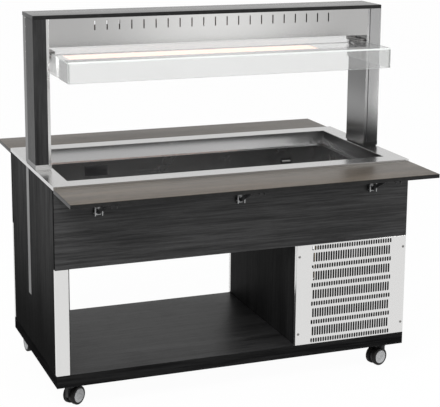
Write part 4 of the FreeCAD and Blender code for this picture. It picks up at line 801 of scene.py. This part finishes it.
def buildWheels(corner, sideX, sideY, turn):
    w = wheelValues
    near, far, out, soft = w["near"], w["far"], w["radius"], w["shoulder"]
    tyre = [(w["hub"], near), (w["hub"] + 0.004, near)]
    tyre += arc(out - soft, near + soft, soft, -90, 0)
    for level in (0.4, 0.6):
        middleLine = near + (far - near) * level
        tyre += [(out, middleLine - 0.0007), (out - w["groove"], middleLine - 0.0003),
            (out - w["groove"], middleLine + 0.0003), (out, middleLine + 0.0007)]
    tyre += arc(out - soft, far - soft, soft, 0, 90)
    tyre += [(w["hub"] + 0.004, far), (w["hub"], far)]
    rim = w["hub"] - 0.00003
    disc = [(0, near), (0.0085, near), (0.0092, near + 0.0010), (0.0215, near + 0.0010), (0.0235, near),
        (rim, near), (rim, far + 0.0002), (rim - 0.0009, far + 0.0011), (0.0245, far + 0.0015),
        (0.0228, far + 0.0013), (0.0212, far + 0.0004), (0.0098, far + 0.0004), (0.0088, far + 0.0013),
        (0.0052, far + 0.0015), (0.0046, far + 0.0008), (0, far + 0.0006)]
    bm = bmesh.new()
    for axis in ("y", "-y"):
        addLathe(bm, tyre, (0, 0, 0), axis, 72, 0, closed=True)
        addLathe(bm, disc, (0, 0, 0), axis, 56, 1)
    at = Matrix.Translation((sideX * casterSeat["x"], sideY * casterSeat["y"], 0)) @ Matrix.Rotation(
        math.radians(turn), 4, "Z")
    bm.transform(at @ Matrix.Translation((w["trail"], 0, w["radius"])))
    finishPiece("tyres_" + corner, bm, [tyreRubber, greyDisc], "wheels_" + corner,
        ["caster_%s_wheels" % corner], 24)


for corner, (sideX, sideY, turn) in corners.items():
    buildWheels(corner, sideX, sideY, turn)


# Caster plates: pressed plate, ball race and four hexagon bolts each.
plateValues = {"half": 0.031, "thick": 0.004, "bolt": 0.0058, "boltRise": 0.004, "boltReach": 0.0225}
bm = bmesh.new()
for sideX, sideY, turn in corners.values():
    x, y, top = sideX * casterSeat["x"], sideY * casterSeat["y"], casterSeat["top"]
    half = plateValues["half"]
    addBox(bm, (x - half, y - half, top - plateValues["thick"]), (x + half, y + half, top), 0, 0.0012)
    addLathe(bm, [(0, 0), (0.0195, 0), (0.0215, 0.0012), (0.022, 0.003), (0.0208, 0.0042), (0.0208, 0.005),
        (0.022, 0.0062), (0.022, 0.0087), (0, 0.0087)], (x, y, casterSeat["race"]), "z", 40)
    for boltX in (-1, 1):
        for boltY in (-1, 1):
            spot = (x + boltX * plateValues["boltReach"], y + boltY * plateValues["boltReach"],
                top - plateValues["thick"])
            rise = plateValues["boltRise"]
            addLathe(bm, [(0, 0), (0.0072, 0), (0.0072, 0.0009), (0, 0.0009)], spot, "-z", 24, 1)
            addLathe(bm, [(0, 0.0009), (plateValues["bolt"], 0.0009), (plateValues["bolt"], rise),
                (plateValues["bolt"] * 0.86, rise + 0.0005), (0, rise + 0.0005)], spot, "-z", 6, 1)
finishPiece("caster_mounting_plates", bm, [galvanised, zincPlate], "cabinet", ["caster_plates"])


# Compressor: a welded shell on a bolted foot plate with rubber mounts, a terminal cover and pipe stubs.
compressorValues = {"shell": 0.073, "weld": 0.0765, "mount": 0.066, "plate": 0.003}
low, high, centre = boxOf("compressor")
bm = bmesh.new()
shell, weld = compressorValues["shell"], compressorValues["weld"]
foot = low.z + 0.012
half = (high.x - low.x) / 2
addBox(bm, (low.x, low.y, foot - compressorValues["plate"]), (high.x, high.y, foot), 0, 0.0010)
profile = [(0, 0.001)] + [(shell * math.sin(math.radians(a)), 0.020 - 0.019 * math.cos(math.radians(a)))
    for a in range(15, 91, 15)]
profile += [(shell, 0.066), (shell + 0.0008, 0.068), (weld, 0.070), (weld, 0.075), (shell + 0.0008, 0.077),
    (shell, 0.079), (shell, 0.098)]
profile += [(shell * math.cos(math.radians(a)), 0.098 + 0.050 * math.sin(math.radians(a)))
    for a in range(10, 90, 10)]
profile += [(0, 0.148)]
addLathe(bm, profile, (centre.x, centre.y, foot), "z", 56)
for sideX in (-1, 1):
    for sideY in (-1, 1):
        spot = (centre.x + sideX * compressorValues["mount"], centre.y + sideY * compressorValues["mount"],
            low.z)
        addLathe(bm, [(0, 0), (0.011, 0), (0.012, 0.002), (0.0095, 0.005), (0.012, 0.008), (0.0105, 0.0125),
            (0.0105, 0.015), (0, 0.015)], spot, "z", 24, 1)
        addLathe(bm, [(0, 0.015), (0.006, 0.015), (0.006, 0.019), (0.0052, 0.0196), (0, 0.0196)], spot, "z",
            6, 2)
addBox(bm, (centre.x - 0.026, low.y + 0.001, foot + 0.030), (centre.x + 0.026, low.y + 0.020, foot + 0.088),
    1, 0.004, 3)
addPipe(bm, [(centre.x + 0.030, centre.y + 0.030, foot + 0.128),
    (centre.x + 0.034, centre.y + 0.034, foot + 0.147), (centre.x + 0.060, centre.y + 0.040, foot + 0.149),
    (centre.x + 0.078, centre.y + 0.042, foot + 0.149)], 0.0040, 3)
addPipe(bm, [(centre.x - 0.068, centre.y + 0.020, foot + 0.030),
    (centre.x - 0.079, centre.y + 0.022, foot + 0.032), (centre.x - 0.079, centre.y + 0.030, foot + 0.060),
    (centre.x - 0.079, centre.y + 0.034, foot + 0.110)], 0.0028, 3)
finishPiece("compressor_shell", bm, [blackMetal, blackPlastic, zincPlate, copper], "cabinet", ["compressor"])


# Condenser: a pack of fins on rows of hairpin tubes between two end plates.
condenserValues = {"finPitch": 0.0042, "fin": 0.0006, "rows": 9, "tube": 0.0045}
low, high, centre = boxOf("condenser")
bm = bmesh.new()
inset = 0.016
count = int((high.x - low.x - 2 * inset) / condenserValues["finPitch"])
first = centre.x - (count - 1) * condenserValues["finPitch"] / 2
fins = grow(blockRow, {"Count": count, "Start": (first, centre.y, centre.z),
    "Step": (condenserValues["finPitch"], 0.0, 0.0),
    "Size": (condenserValues["fin"], high.y - low.y - 0.004, high.z - low.z - 0.006), "Material": finCoatAndShade})
addMesh(bm, fins)
for x in (low.x + inset - 0.004, high.x - inset + 0.002):
    addBox(bm, (x, low.y, low.z), (x + 0.002, high.y, high.z), 1, 0.0006)
    addBox(bm, (x - 0.004, low.y, low.z), (x + 0.006, high.y, low.z + 0.0018), 1, 0.0005)
pitch = (high.z - low.z) / condenserValues["rows"]
for column in (-0.016, 0.016):
    for row in range(condenserValues["rows"]):
        z = low.z + pitch * (row + 0.5)
        addLathe(bm, [(0, 0), (condenserValues["tube"], 0),
            (condenserValues["tube"], high.x - low.x - 2 * inset + 0.006),
            (0, high.x - low.x - 2 * inset + 0.006)], (low.x + inset - 0.003, centre.y + column, z), "x", 12)
        if row < condenserValues["rows"] - 1:
            left = (row + (column > 0)) % 2 == 0
            edge = low.x + inset - 0.003 if left else high.x - inset + 0.003
            reach = -0.011 if left else 0.011
            addPipe(bm, [(edge, centre.y + column, z), (edge + reach, centre.y + column, z),
                (edge + reach * 1.25, centre.y + column, z + pitch / 2),
                (edge + reach, centre.y + column, z + pitch), (edge, centre.y + column, z + pitch)],
                condenserValues["tube"] * 0.9)
finishPiece("condenser_pack", bm, [finCoatAndShade, blackMetal], "cabinet", ["condenser"])


# Fan: five cambered blades on a domed hub, and its motor on a bent foot.
fanValues = {"blades": 5, "hub": 0.024, "tip": 0.101, "chordRoot": 0.034, "chordTip": 0.066, "rise": 0.013,
    "camber": 0.0035, "skin": 0.0011}
low, high, centre = boxOf("fan_blade")
bm = bmesh.new()
across, along = 8, 7
for blade in range(fanValues["blades"]):
    turn = Matrix.Rotation(2 * math.pi * blade / fanValues["blades"], 4, "Y")
    skins = []
    for lift in (-fanValues["skin"] / 2, fanValues["skin"] / 2):
        rows = []
        for i in range(along):
            t = i / (along - 1)
            reach = fanValues["hub"] - 0.004 + t * (fanValues["tip"] - fanValues["hub"] + 0.004)
            chord = fanValues["chordRoot"] + (fanValues["chordTip"] - fanValues["chordRoot"]) * math.sin(t *
                math.pi * 0.55)
            rows.append([])
            for j in range(across):
                s = j / (across - 1) - 0.5
                sweep = 0.22 * t + s * chord / max(reach, 0.03)
                height = fanValues["rise"] * (1 - 0.35 * t) * s * 1.5 + fanValues["camber"] * (1 - 4 * s *
                    s) + lift
                spot = Vector((reach * math.sin(sweep), height, reach * math.cos(sweep)))
                rows[-1].append(bm.verts.new(Matrix.Translation(centre) @ turn @ spot))
        skins.append(rows)
    under, over = skins
    for i in range(along - 1):
        for j in range(across - 1):
            bm.faces.new([under[i][j], under[i][j + 1], under[i + 1][j + 1], under[i + 1][j]])
            bm.faces.new([over[i][j], over[i + 1][j], over[i + 1][j + 1], over[i][j + 1]])
    rim = ([(i, 0) for i in range(along)] + [(along - 1, j) for j in range(1, across)] +
        [(i, across - 1) for i in range(along - 2, -1, -1)] + [(0, j) for j in range(across - 2, 0, -1)])
    for here, there in zip(rim, rim[1:] + rim[:1]):
        bm.faces.new([under[here[0]][here[1]], under[there[0]][there[1]], over[there[0]][there[1]],
            over[here[0]][here[1]]])
hub = fanValues["hub"]
addLathe(bm, [(0.0042, -0.010), (hub - 0.002, -0.010), (hub, -0.008), (hub, 0.006), (hub - 0.003, 0.0095),
    (0.008, 0.0108), (0.0042, 0.0108)], centre, "y", 36, 0, closed=True)
finishPiece("fan_rotor", bm, [fanMetal], "fan_wheel", ["fan_blade"])

motorValues = {"body": 0.038, "back": 0.060, "shaft": 0.004}
low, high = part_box("fan_motor")
bm = bmesh.new()
axisZ = boxOf("fan_blade")[2].z
motorX = (low.x + high.x) / 2
body = motorValues["body"]
back = high.y - motorValues["back"]
addLathe(bm, [(0, 0), (body * 0.55, 0), (body * 0.86, 0.004), (body, 0.012), (body, 0.046),
    (body * 0.9, 0.055), (body * 0.4, 0.060), (0, 0.060)], (motorX, back, axisZ), "y", 40)
ribs = grow(markRing, {"Count": 24, "Radius": body * 0.975, "First": 0.0, "Step": 2 * math.pi / 24,
    "Size": (0.003, 0.0025, 0.032), "Material": blackMetal})
addMesh(bm, ribs, 0, Matrix.Translation((motorX, back + 0.029, axisZ)) @ turnTo["y"])
addLathe(bm, [(0, 0), (motorValues["shaft"] - 0.0002, 0), (motorValues["shaft"] - 0.0002, back - low.y),
    (0, back - low.y)], (motorX, low.y, axisZ), "y", 20, 1)
addBox(bm, (motorX - 0.022, back + 0.026, low.z), (motorX + 0.022, back + 0.029, axisZ - body * 0.8), 1,
    0.001)
addBox(bm, (motorX - 0.022, back + 0.026, low.z), (motorX + 0.022, high.y - 0.002, low.z + 0.003), 1, 0.001)
screws = grow(panScrews, {"Head": 0.005, "Rise": 0.003, "Facing": (0.0, 0.0, 1.0), "Seed": 9,
    "Material": zincPlate}, [(motorX - 0.012, high.y - 0.014, low.z + 0.003),
    (motorX + 0.012, high.y - 0.014, low.z + 0.003)])
addMesh(bm, screws, 1)
finishPiece("fan_motor_body", bm, [blackMetal, zincPlate], "cabinet", ["fan_motor"])


# Lamp: a folded carrier with two rows of diodes over the opal sheet, and its driver.
lampValues = {"wall": 0.0015, "pitch": 0.0167, "diode": 0.0035}
low, high, centre = boxOf("lamp_bar")
bm = bmesh.new()
wall = lampValues["wall"]
addBox(bm, (low.x, low.y, high.z - wall), (high.x, high.y, high.z), 0, 0.0004)
for y in (low.y, high.y - wall):
    addBox(bm, (low.x, y, low.z), (high.x, y + wall, high.z - wall / 2), 0, 0.0004)
count = int((high.x - low.x - 0.02) / lampValues["pitch"])
for y in (-0.013, 0.013):
    addBox(bm, (low.x + 0.004, y - 0.006, high.z - wall - 0.001),
        (high.x - 0.004, y + 0.006, high.z - wall + 0.0002), 1)
    diodes = grow(blockRow, {"Count": count, "Start": (low.x + 0.01, y, high.z - wall - 0.0016),
        "Step": (lampValues["pitch"], 0.0, 0.0), "Size": (lampValues["diode"], lampValues["diode"], 0.0014),
        "Material": lampOpal})
    addMesh(bm, diodes, 2)
finishPiece("lamp_carrier", bm, [galvanised, whitePlastic, lampOpal], "cabinet", ["lamp_bar"])

low, high, centre = boxOf("lamp_driver")
bm = bmesh.new()
addBox(bm, (low.x + 0.014, low.y, low.z), (high.x - 0.014, high.y, high.z), 0, 0.002, 3)
for x in (low.x, high.x - 0.018):
    addBox(bm, (x, low.y + 0.001, low.z), (x + 0.018, high.y - 0.001, high.z - 0.004), 0, 0.0015)
ribs = grow(blockRow, {"Count": 14, "Start": (centre.x - 0.039, centre.y, high.z), "Step": (0.006, 0.0, 0.0),
    "Size": (0.002, 0.036, 0.0012), "Material": whitePlastic})
addMesh(bm, ribs)
screws = grow(panScrews, {"Head": 0.0028, "Rise": 0.0015, "Facing": (0.0, 0.0, 1.0), "Seed": 5,
    "Material": zincPlate}, [(x, y, high.z - 0.004) for x in (low.x + 0.007, high.x - 0.007)
    for y in (-0.014, 0.014)])
addMesh(bm, screws, 1)
finishPiece("lamp_driver_box", bm, [whitePlastic, zincPlate], "cabinet", ["lamp_driver"])


# Control box: folded front with bezels for the rockers and a scale round the thermostat's knob.
controlValues = {"ticks": 11, "scaleRadius": 0.0225, "bezel": 0.0022, "sheet": 0.002}
low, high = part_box("control_panel")
knobLow, knobHigh, knob = boxOf("thermostat_knob")
bm = bmesh.new()
addBars(bm, low, (high.x, high.y - 0.0006, high.z), controlValues["sheet"], 0, 0.0006)
keys = [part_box("power_switch"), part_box("light_switch")]
# the front is pieced round the two rocker openings
frontNear, frontFar = high.y - controlValues["sheet"], high.y
edges = [low.x] + [value for key in keys for value in (key[0].x - 0.0006, key[1].x + 0.0006)] + [high.x]
for start, end in ((0, 1), (2, 3), (4, 5)):
    addBox(bm, (edges[start], frontNear, low.z), (edges[end], frontFar, high.z), 0)
for key in keys:
    addBox(bm, (key[0].x - 0.0007, frontNear, low.z), (key[1].x + 0.0007, frontFar, key[0].z - 0.0006), 0)
    addBox(bm, (key[0].x - 0.0007, frontNear, key[1].z + 0.0006), (key[1].x + 0.0007, frontFar, high.z), 0)
    out = controlValues["bezel"]
    addBars(bm, (key[0].x - out, frontFar - 0.001, key[0].z - out),
        (key[1].x + out, frontFar + 0.0012, key[1].z + out), out - 0.0004, 1, 0.0003)
scale = grow(markRing, {"Count": controlValues["ticks"], "Radius": controlValues["scaleRadius"],
    "First": math.radians(-90.0), "Step": math.radians(27.0), "Size": (0.0042, 0.0009, 0.0004),
    "Material": whitePlastic})
addMesh(bm, scale, 2, Matrix.Translation((knob.x, frontFar + 0.0001, knob.z)) @ turnTo["y"])
screws = grow(panScrews, {"Head": 0.0032, "Rise": 0.0014, "Facing": (0.0, 1.0, 0.0), "Seed": 6,
    "Material": zincPlate}, [(x, frontFar, z) for x in (low.x + 0.008, high.x - 0.008)
    for z in (low.z + 0.008, high.z - 0.008)])
addMesh(bm, screws, 3)
finishPiece("control_box", bm, [blackMetal, blackPlastic, whitePlastic, zincPlate], "cabinet",
    ["control_panel"])

knobValues = {"flutes": 26, "skirt": 0.017, "grip": 0.0125}
bm = bmesh.new()
depth = knobHigh.y - knobLow.y
skirt, grip = knobValues["skirt"], knobValues["grip"]
addLathe(bm, [(0, 0), (skirt, 0), (skirt, 0.0016), (skirt - 0.0012, 0.0030), (grip + 0.0008, 0.0034),
    (grip, depth - 0.003), (grip - 0.0015, depth - 0.0012), (grip - 0.004, depth - 0.0009),
    (0, depth - 0.0016)], (knob.x, knobLow.y, knob.z), "y", 48)
flutes = grow(markRing, {"Count": knobValues["flutes"], "Radius": grip, "First": 0.0,
    "Step": 2 * math.pi / knobValues["flutes"], "Size": (0.0016, 0.0014, depth - 0.0075),
    "Material": blackPlastic})
addMesh(bm, flutes, 0, Matrix.Translation((knob.x, knobLow.y + depth / 2, knob.z)) @ turnTo["y"])
addBox(bm, (knob.x - 0.0007, knobHigh.y - 0.0014, knob.z + 0.003),
    (knob.x + 0.0007, knobHigh.y - 0.0006, knob.z + 0.0105), 1, 0.0001)
addBox(bm, (knob.x - 0.0007, knobLow.y + 0.0014, knob.z + grip),
    (knob.x + 0.0007, knobLow.y + 0.0034, knob.z + skirt - 0.0009), 1, 0.0001)
finishPiece("thermostat_dial", bm, [blackPlastic, whitePlastic], "thermostat", ["thermostat_knob"])

# The rockers' on and off marks.
for name, body in (("power_switch", "power_rocker"), ("light_switch", "light_rocker")):
    low, high, centre = boxOf(name)
    bm = bmesh.new()
    addBox(bm, (centre.x - 0.0004, high.y - 0.0016, centre.z + 0.004),
        (centre.x + 0.0004, high.y - 0.0004, centre.z + 0.0075), 0, 0, 1)
    addLathe(bm, [(0.0013, 0), (0.0018, 0), (0.0018, 0.0012), (0.0013, 0.0012)],
        (centre.x, high.y - 0.0030, centre.z - 0.0055), "y", 24, 0, closed=True)
    finishPiece(body + "_marks", bm, [whitePlastic], body, ())


# Gland for the mains lead: flange, hexagon and a domed, fluted nut.
glandValues = {"bore": 0.0045, "flange": 0.014, "nut": 0.0105}
low, high, centre = boxOf("power_inlet")
bm = bmesh.new()
length = high.y - low.y
bore = glandValues["bore"]
addLathe(bm, [(bore, 0), (glandValues["flange"], 0), (glandValues["flange"], 0.003),
    (glandValues["flange"] - 0.001, 0.004), (bore, 0.004)], (centre.x, low.y, centre.z), "y", 40, 0,
    closed=True)
addLathe(bm, [(bore, 0.0035), (0.0128, 0.0035), (0.0128, 0.0095), (0.0118, 0.0105), (bore, 0.0105)],
    (centre.x, low.y, centre.z), "y", 6, 0, closed=True)
nut = glandValues["nut"]
addLathe(bm, [(bore, 0.010), (nut, 0.010), (nut, 0.022), (nut - 0.001, 0.026), (nut - 0.003, length - 0.002),
    (bore + 0.001, length), (bore, length - 0.0005)], (centre.x, low.y, centre.z), "y", 40, 0, closed=True)
flutes = grow(markRing, {"Count": 18, "Radius": nut, "First": 0.0, "Step": 2 * math.pi / 18,
    "Size": (0.0012, 0.0014, 0.011), "Material": blackPlastic})
addMesh(bm, flutes, 0, Matrix.Translation((centre.x, low.y + 0.0165, centre.z)) @ turnTo["y"])
finishPiece("lead_gland", bm, [blackPlastic], "cabinet", ["power_inlet"])


# Drain: tube, ball valve with hexagon ends, ringed tail, and a dipped lever.
drainValues = {"tube": 0.013, "bore": 0.010, "ball": 0.0195, "hex": 0.0185}
low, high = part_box("drain_pipe")
leverLow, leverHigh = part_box("drain_lever")
centreX, centreY = (low.x + high.x) / 2, high.y - 0.020
valveZ = (leverLow.z + leverHigh.z) / 2 - low.z
tube, bore, ball, top = drainValues["tube"], drainValues["bore"], drainValues["ball"], high.z - low.z
bm = bmesh.new()
profile = [(bore, 0.0), (0.0125, 0.0)]
for ring in range(4):
    profile += [(0.014, 0.001 + 0.0058 * ring), (0.0126, 0.0052 + 0.0058 * ring)]
profile += [(tube, 0.025), (tube, valveZ - 0.030), (ball * 0.75, valveZ - 0.018)]
profile += [(ball * math.cos(math.radians(a)), valveZ + ball * math.sin(math.radians(a)))
    for a in range(-50, 51, 12)]
profile += [(ball * 0.75, valveZ + 0.018), (tube, valveZ + 0.030), (tube, top), (bore, top)]
addLathe(bm, profile, (centreX, centreY, low.z), "z", 36, 0, closed=True)
for rise in (valveZ - 0.033, valveZ + 0.019):
    addLathe(bm, [(bore + 0.001, 0), (drainValues["hex"] - 0.001, 0), (drainValues["hex"], 0.0012),
        (drainValues["hex"], 0.0128), (drainValues["hex"] - 0.001, 0.014), (bore + 0.001, 0.014)],
        (centreX, centreY, low.z + rise), "z", 6, 0, closed=True)
addLathe(bm, [(0, 0), (0.0075, 0), (0.0075, 0.008), (0.0039, 0.0085), (0.0039, centreY - leverLow.y - 0.0185),
    (0, centreY - leverLow.y - 0.0185)], (centreX, centreY - 0.0185, low.z + valveZ), "-y", 24)
finishPiece("drain_valve", bm, [brass], "cabinet", ["drain_pipe"])

bm = bmesh.new()
leverZ = (leverLow.z + leverHigh.z) / 2
thick = 0.0030
addLathe(bm, [(0.0040, 0), (0.0098, 0), (0.0098, thick), (0.0040, thick)],
    (centreX, leverLow.y + thick + 0.0022, leverZ), "-y", 32, 1, closed=True)
addBox(bm, (centreX + 0.006, leverLow.y + 0.0022, leverZ - 0.0075),
    (centreX + 0.034, leverLow.y + 0.0022 + thick, leverZ + 0.0075), 1, 0.0008)
addBox(bm, (centreX + 0.027, leverLow.y + 0.0007, leverZ - 0.0098),
    (leverHigh.x, leverLow.y + 0.0066, leverZ + 0.0098), 0, 0.0026, 4)
addLathe(bm, [(0.0040, 0.0), (0.0068, 0.0), (0.0068, 0.0022), (0.0040, 0.0022)],
    (centreX, leverLow.y + 0.0022, leverZ), "-y", 6, 1, closed=True)
finishPiece("drain_lever_handle", bm, [redGrip, zincPlate], "drain_handle", ["drain_lever"])


# Clips for the thermostat's probe and the overflow cover on the well's rear wall.
clipValues = {"wallY": 0.265, "sheet": 0.0015}
bm = bmesh.new()
wallY = clipValues["wallY"]
for x0, x1, z0, z1 in ((0.451, 0.502, 0.760, 0.788), (-0.453, -0.352, 0.772, 0.818)):
    addBox(bm, (x0, wallY - clipValues["sheet"], z0), (x1, wallY + 0.0002, z1), 0, 0.0006)
    screws = grow(panScrews, {"Head": 0.0036, "Rise": 0.0018, "Facing": (0.0, -1.0, 0.0), "Seed": 8,
        "Material": blackMetal}, [(x, wallY - clipValues["sheet"], (z0 + z1) / 2)
        for x in (x0 + 0.006, x1 - 0.006)])
    addMesh(bm, screws)
addLathe(bm, [(0, 0), (0.003, 0.001), (0.0042, 0.004), (0.0042, 0.036), (0.003, 0.039), (0, 0.040)],
    (0.4565, wallY - 0.0055, 0.774), "x", 20, 1)
finishPiece("probe_clips", bm, [blackMetal, zincPlate], "cabinet", ())
print("pieces made")


# Floor, lamps, world and camera.
lightLook = {"world": 0.78, "key": 210.0, "fill": 90.0, "floor": 0.86, "glow": 0.97}


def makeFloor():
    bm = bmesh.new()
    bmesh.ops.create_grid(bm, x_segments=2, y_segments=2, size=45.0)
    mesh = bpy.data.meshes.new("studio_floor")
    bm.to_mesh(mesh)
    bm.free()
    material = bpy.data.materials.new("studio_floor")
    material.use_nodes = True
    tree = material.node_tree
    tree.nodes.clear()
    coords = addNode(tree, "ShaderNodeTexCoord").outputs["Object"]
    cloud = streaks(tree, coords, (1.3, 1.3, 1.3), 2.0)
    paint = mixColour(tree, cloud, (lightLook["floor"],) * 3 + (1,), (lightLook["floor"] * 0.985,) * 3 + (1,))
    matte = put(tree, "ShaderNodeBsdfDiffuse", Color=paint)
    white = put(tree, "ShaderNodeEmission", Color=(1, 1, 1, 1), Strength=1.0)
    path = addNode(tree, "ShaderNodeLightPath").outputs
    seen = calc(tree, "MAXIMUM", path["Is Camera Ray"],
        calc(tree, "MAXIMUM", path["Is Glossy Ray"], path["Is Transmission Ray"]))
    mix = addNode(tree, "ShaderNodeMixShader")
    feed(tree, mix, i0=times(tree, seen, lightLook["glow"]), i1=matte, i2=white)
    put(tree, "ShaderNodeOutputMaterial", Surface=mix.outputs[0])
    mesh.materials.append(material)
    floor = bpy.data.objects.new("studio_floor", mesh)
    scene.collection.objects.link(floor)


def addLamp(name, place, aim, size, power, colour=(1, 1, 1)):
    data = bpy.data.lights.new(name, "AREA")
    data.shape = "RECTANGLE"
    data.size, data.size_y = size
    data.energy = power
    data.color = colour
    lamp = bpy.data.objects.new(name, data)
    lamp.location = place
    lamp.rotation_euler = (Vector(aim) - Vector(place)).to_track_quat("-Z", "Y").to_euler()
    scene.collection.objects.link(lamp)


def makeWorld():
    world = bpy.data.worlds.new("studio")
    scene.world = world
    world.use_nodes = True
    tree = world.node_tree
    tree.nodes.clear()
    path = addNode(tree, "ShaderNodeLightPath").outputs
    coords = addNode(tree, "ShaderNodeTexCoord").outputs["Generated"]
    split = addNode(tree, "ShaderNodeSeparateXYZ")
    feed(tree, split, i0=coords)
    side = remap(tree, split.outputs[0], -1.0, 1.0, 0.82, 1.0)
    soft = put(tree, "ShaderNodeBackground", Color=(1, 1, 1, 1),
        Strength=times(tree, side, lightLook["world"]))
    white = put(tree, "ShaderNodeBackground", Color=(1, 1, 1, 1), Strength=1.0)
    mix = addNode(tree, "ShaderNodeMixShader")
    feed(tree, mix, i0=path["Is Camera Ray"], i1=soft, i2=white)
    put(tree, "ShaderNodeOutputWorld", Surface=mix.outputs[0])


makeFloor()
makeWorld()
addLamp("key_softbox", (-2.6, -3.4, 4.2), (0, 0, 0.7), (2.6, 2.0), lightLook["key"])
addLamp("fill_softbox", (4.4, -3.2, 2.6), (0.2, 0, 0.8), (2.2, 2.2), lightLook["fill"])

cameraValues = {"place": (-1.87003, -5.017094, 2.051588), "yaw": 0.366905, "pitch": 0.210072, "roll": 0.00762,
    "lens": 107.825, "shiftY": -0.1216}


def makeCamera():
    v = cameraValues
    forward = Vector((math.sin(v["yaw"]) * math.cos(v["pitch"]), math.cos(v["yaw"]) * math.cos(v["pitch"]),
        -math.sin(v["pitch"])))
    right = Vector((math.cos(v["yaw"]), -math.sin(v["yaw"]), 0))
    up = right.cross(forward)
    tiltedRight = right * math.cos(v["roll"]) + up * math.sin(v["roll"])
    tiltedUp = up * math.cos(v["roll"]) - right * math.sin(v["roll"])
    data = bpy.data.cameras.new("photo_camera")
    data.sensor_width = 36.0
    data.lens = v["lens"]
    data.shift_y = v["shiftY"]
    data.clip_end = 200.0
    camera = bpy.data.objects.new("photo_camera", data)
    turn = Matrix((tiltedRight, tiltedUp, -forward)).transposed()
    camera.matrix_world = Matrix.Translation(v["place"]) @ turn.to_4x4()
    scene.collection.objects.link(camera)
    scene.camera = camera


makeCamera()
scene.view_settings.view_transform = "Standard"
print("lights and camera set")
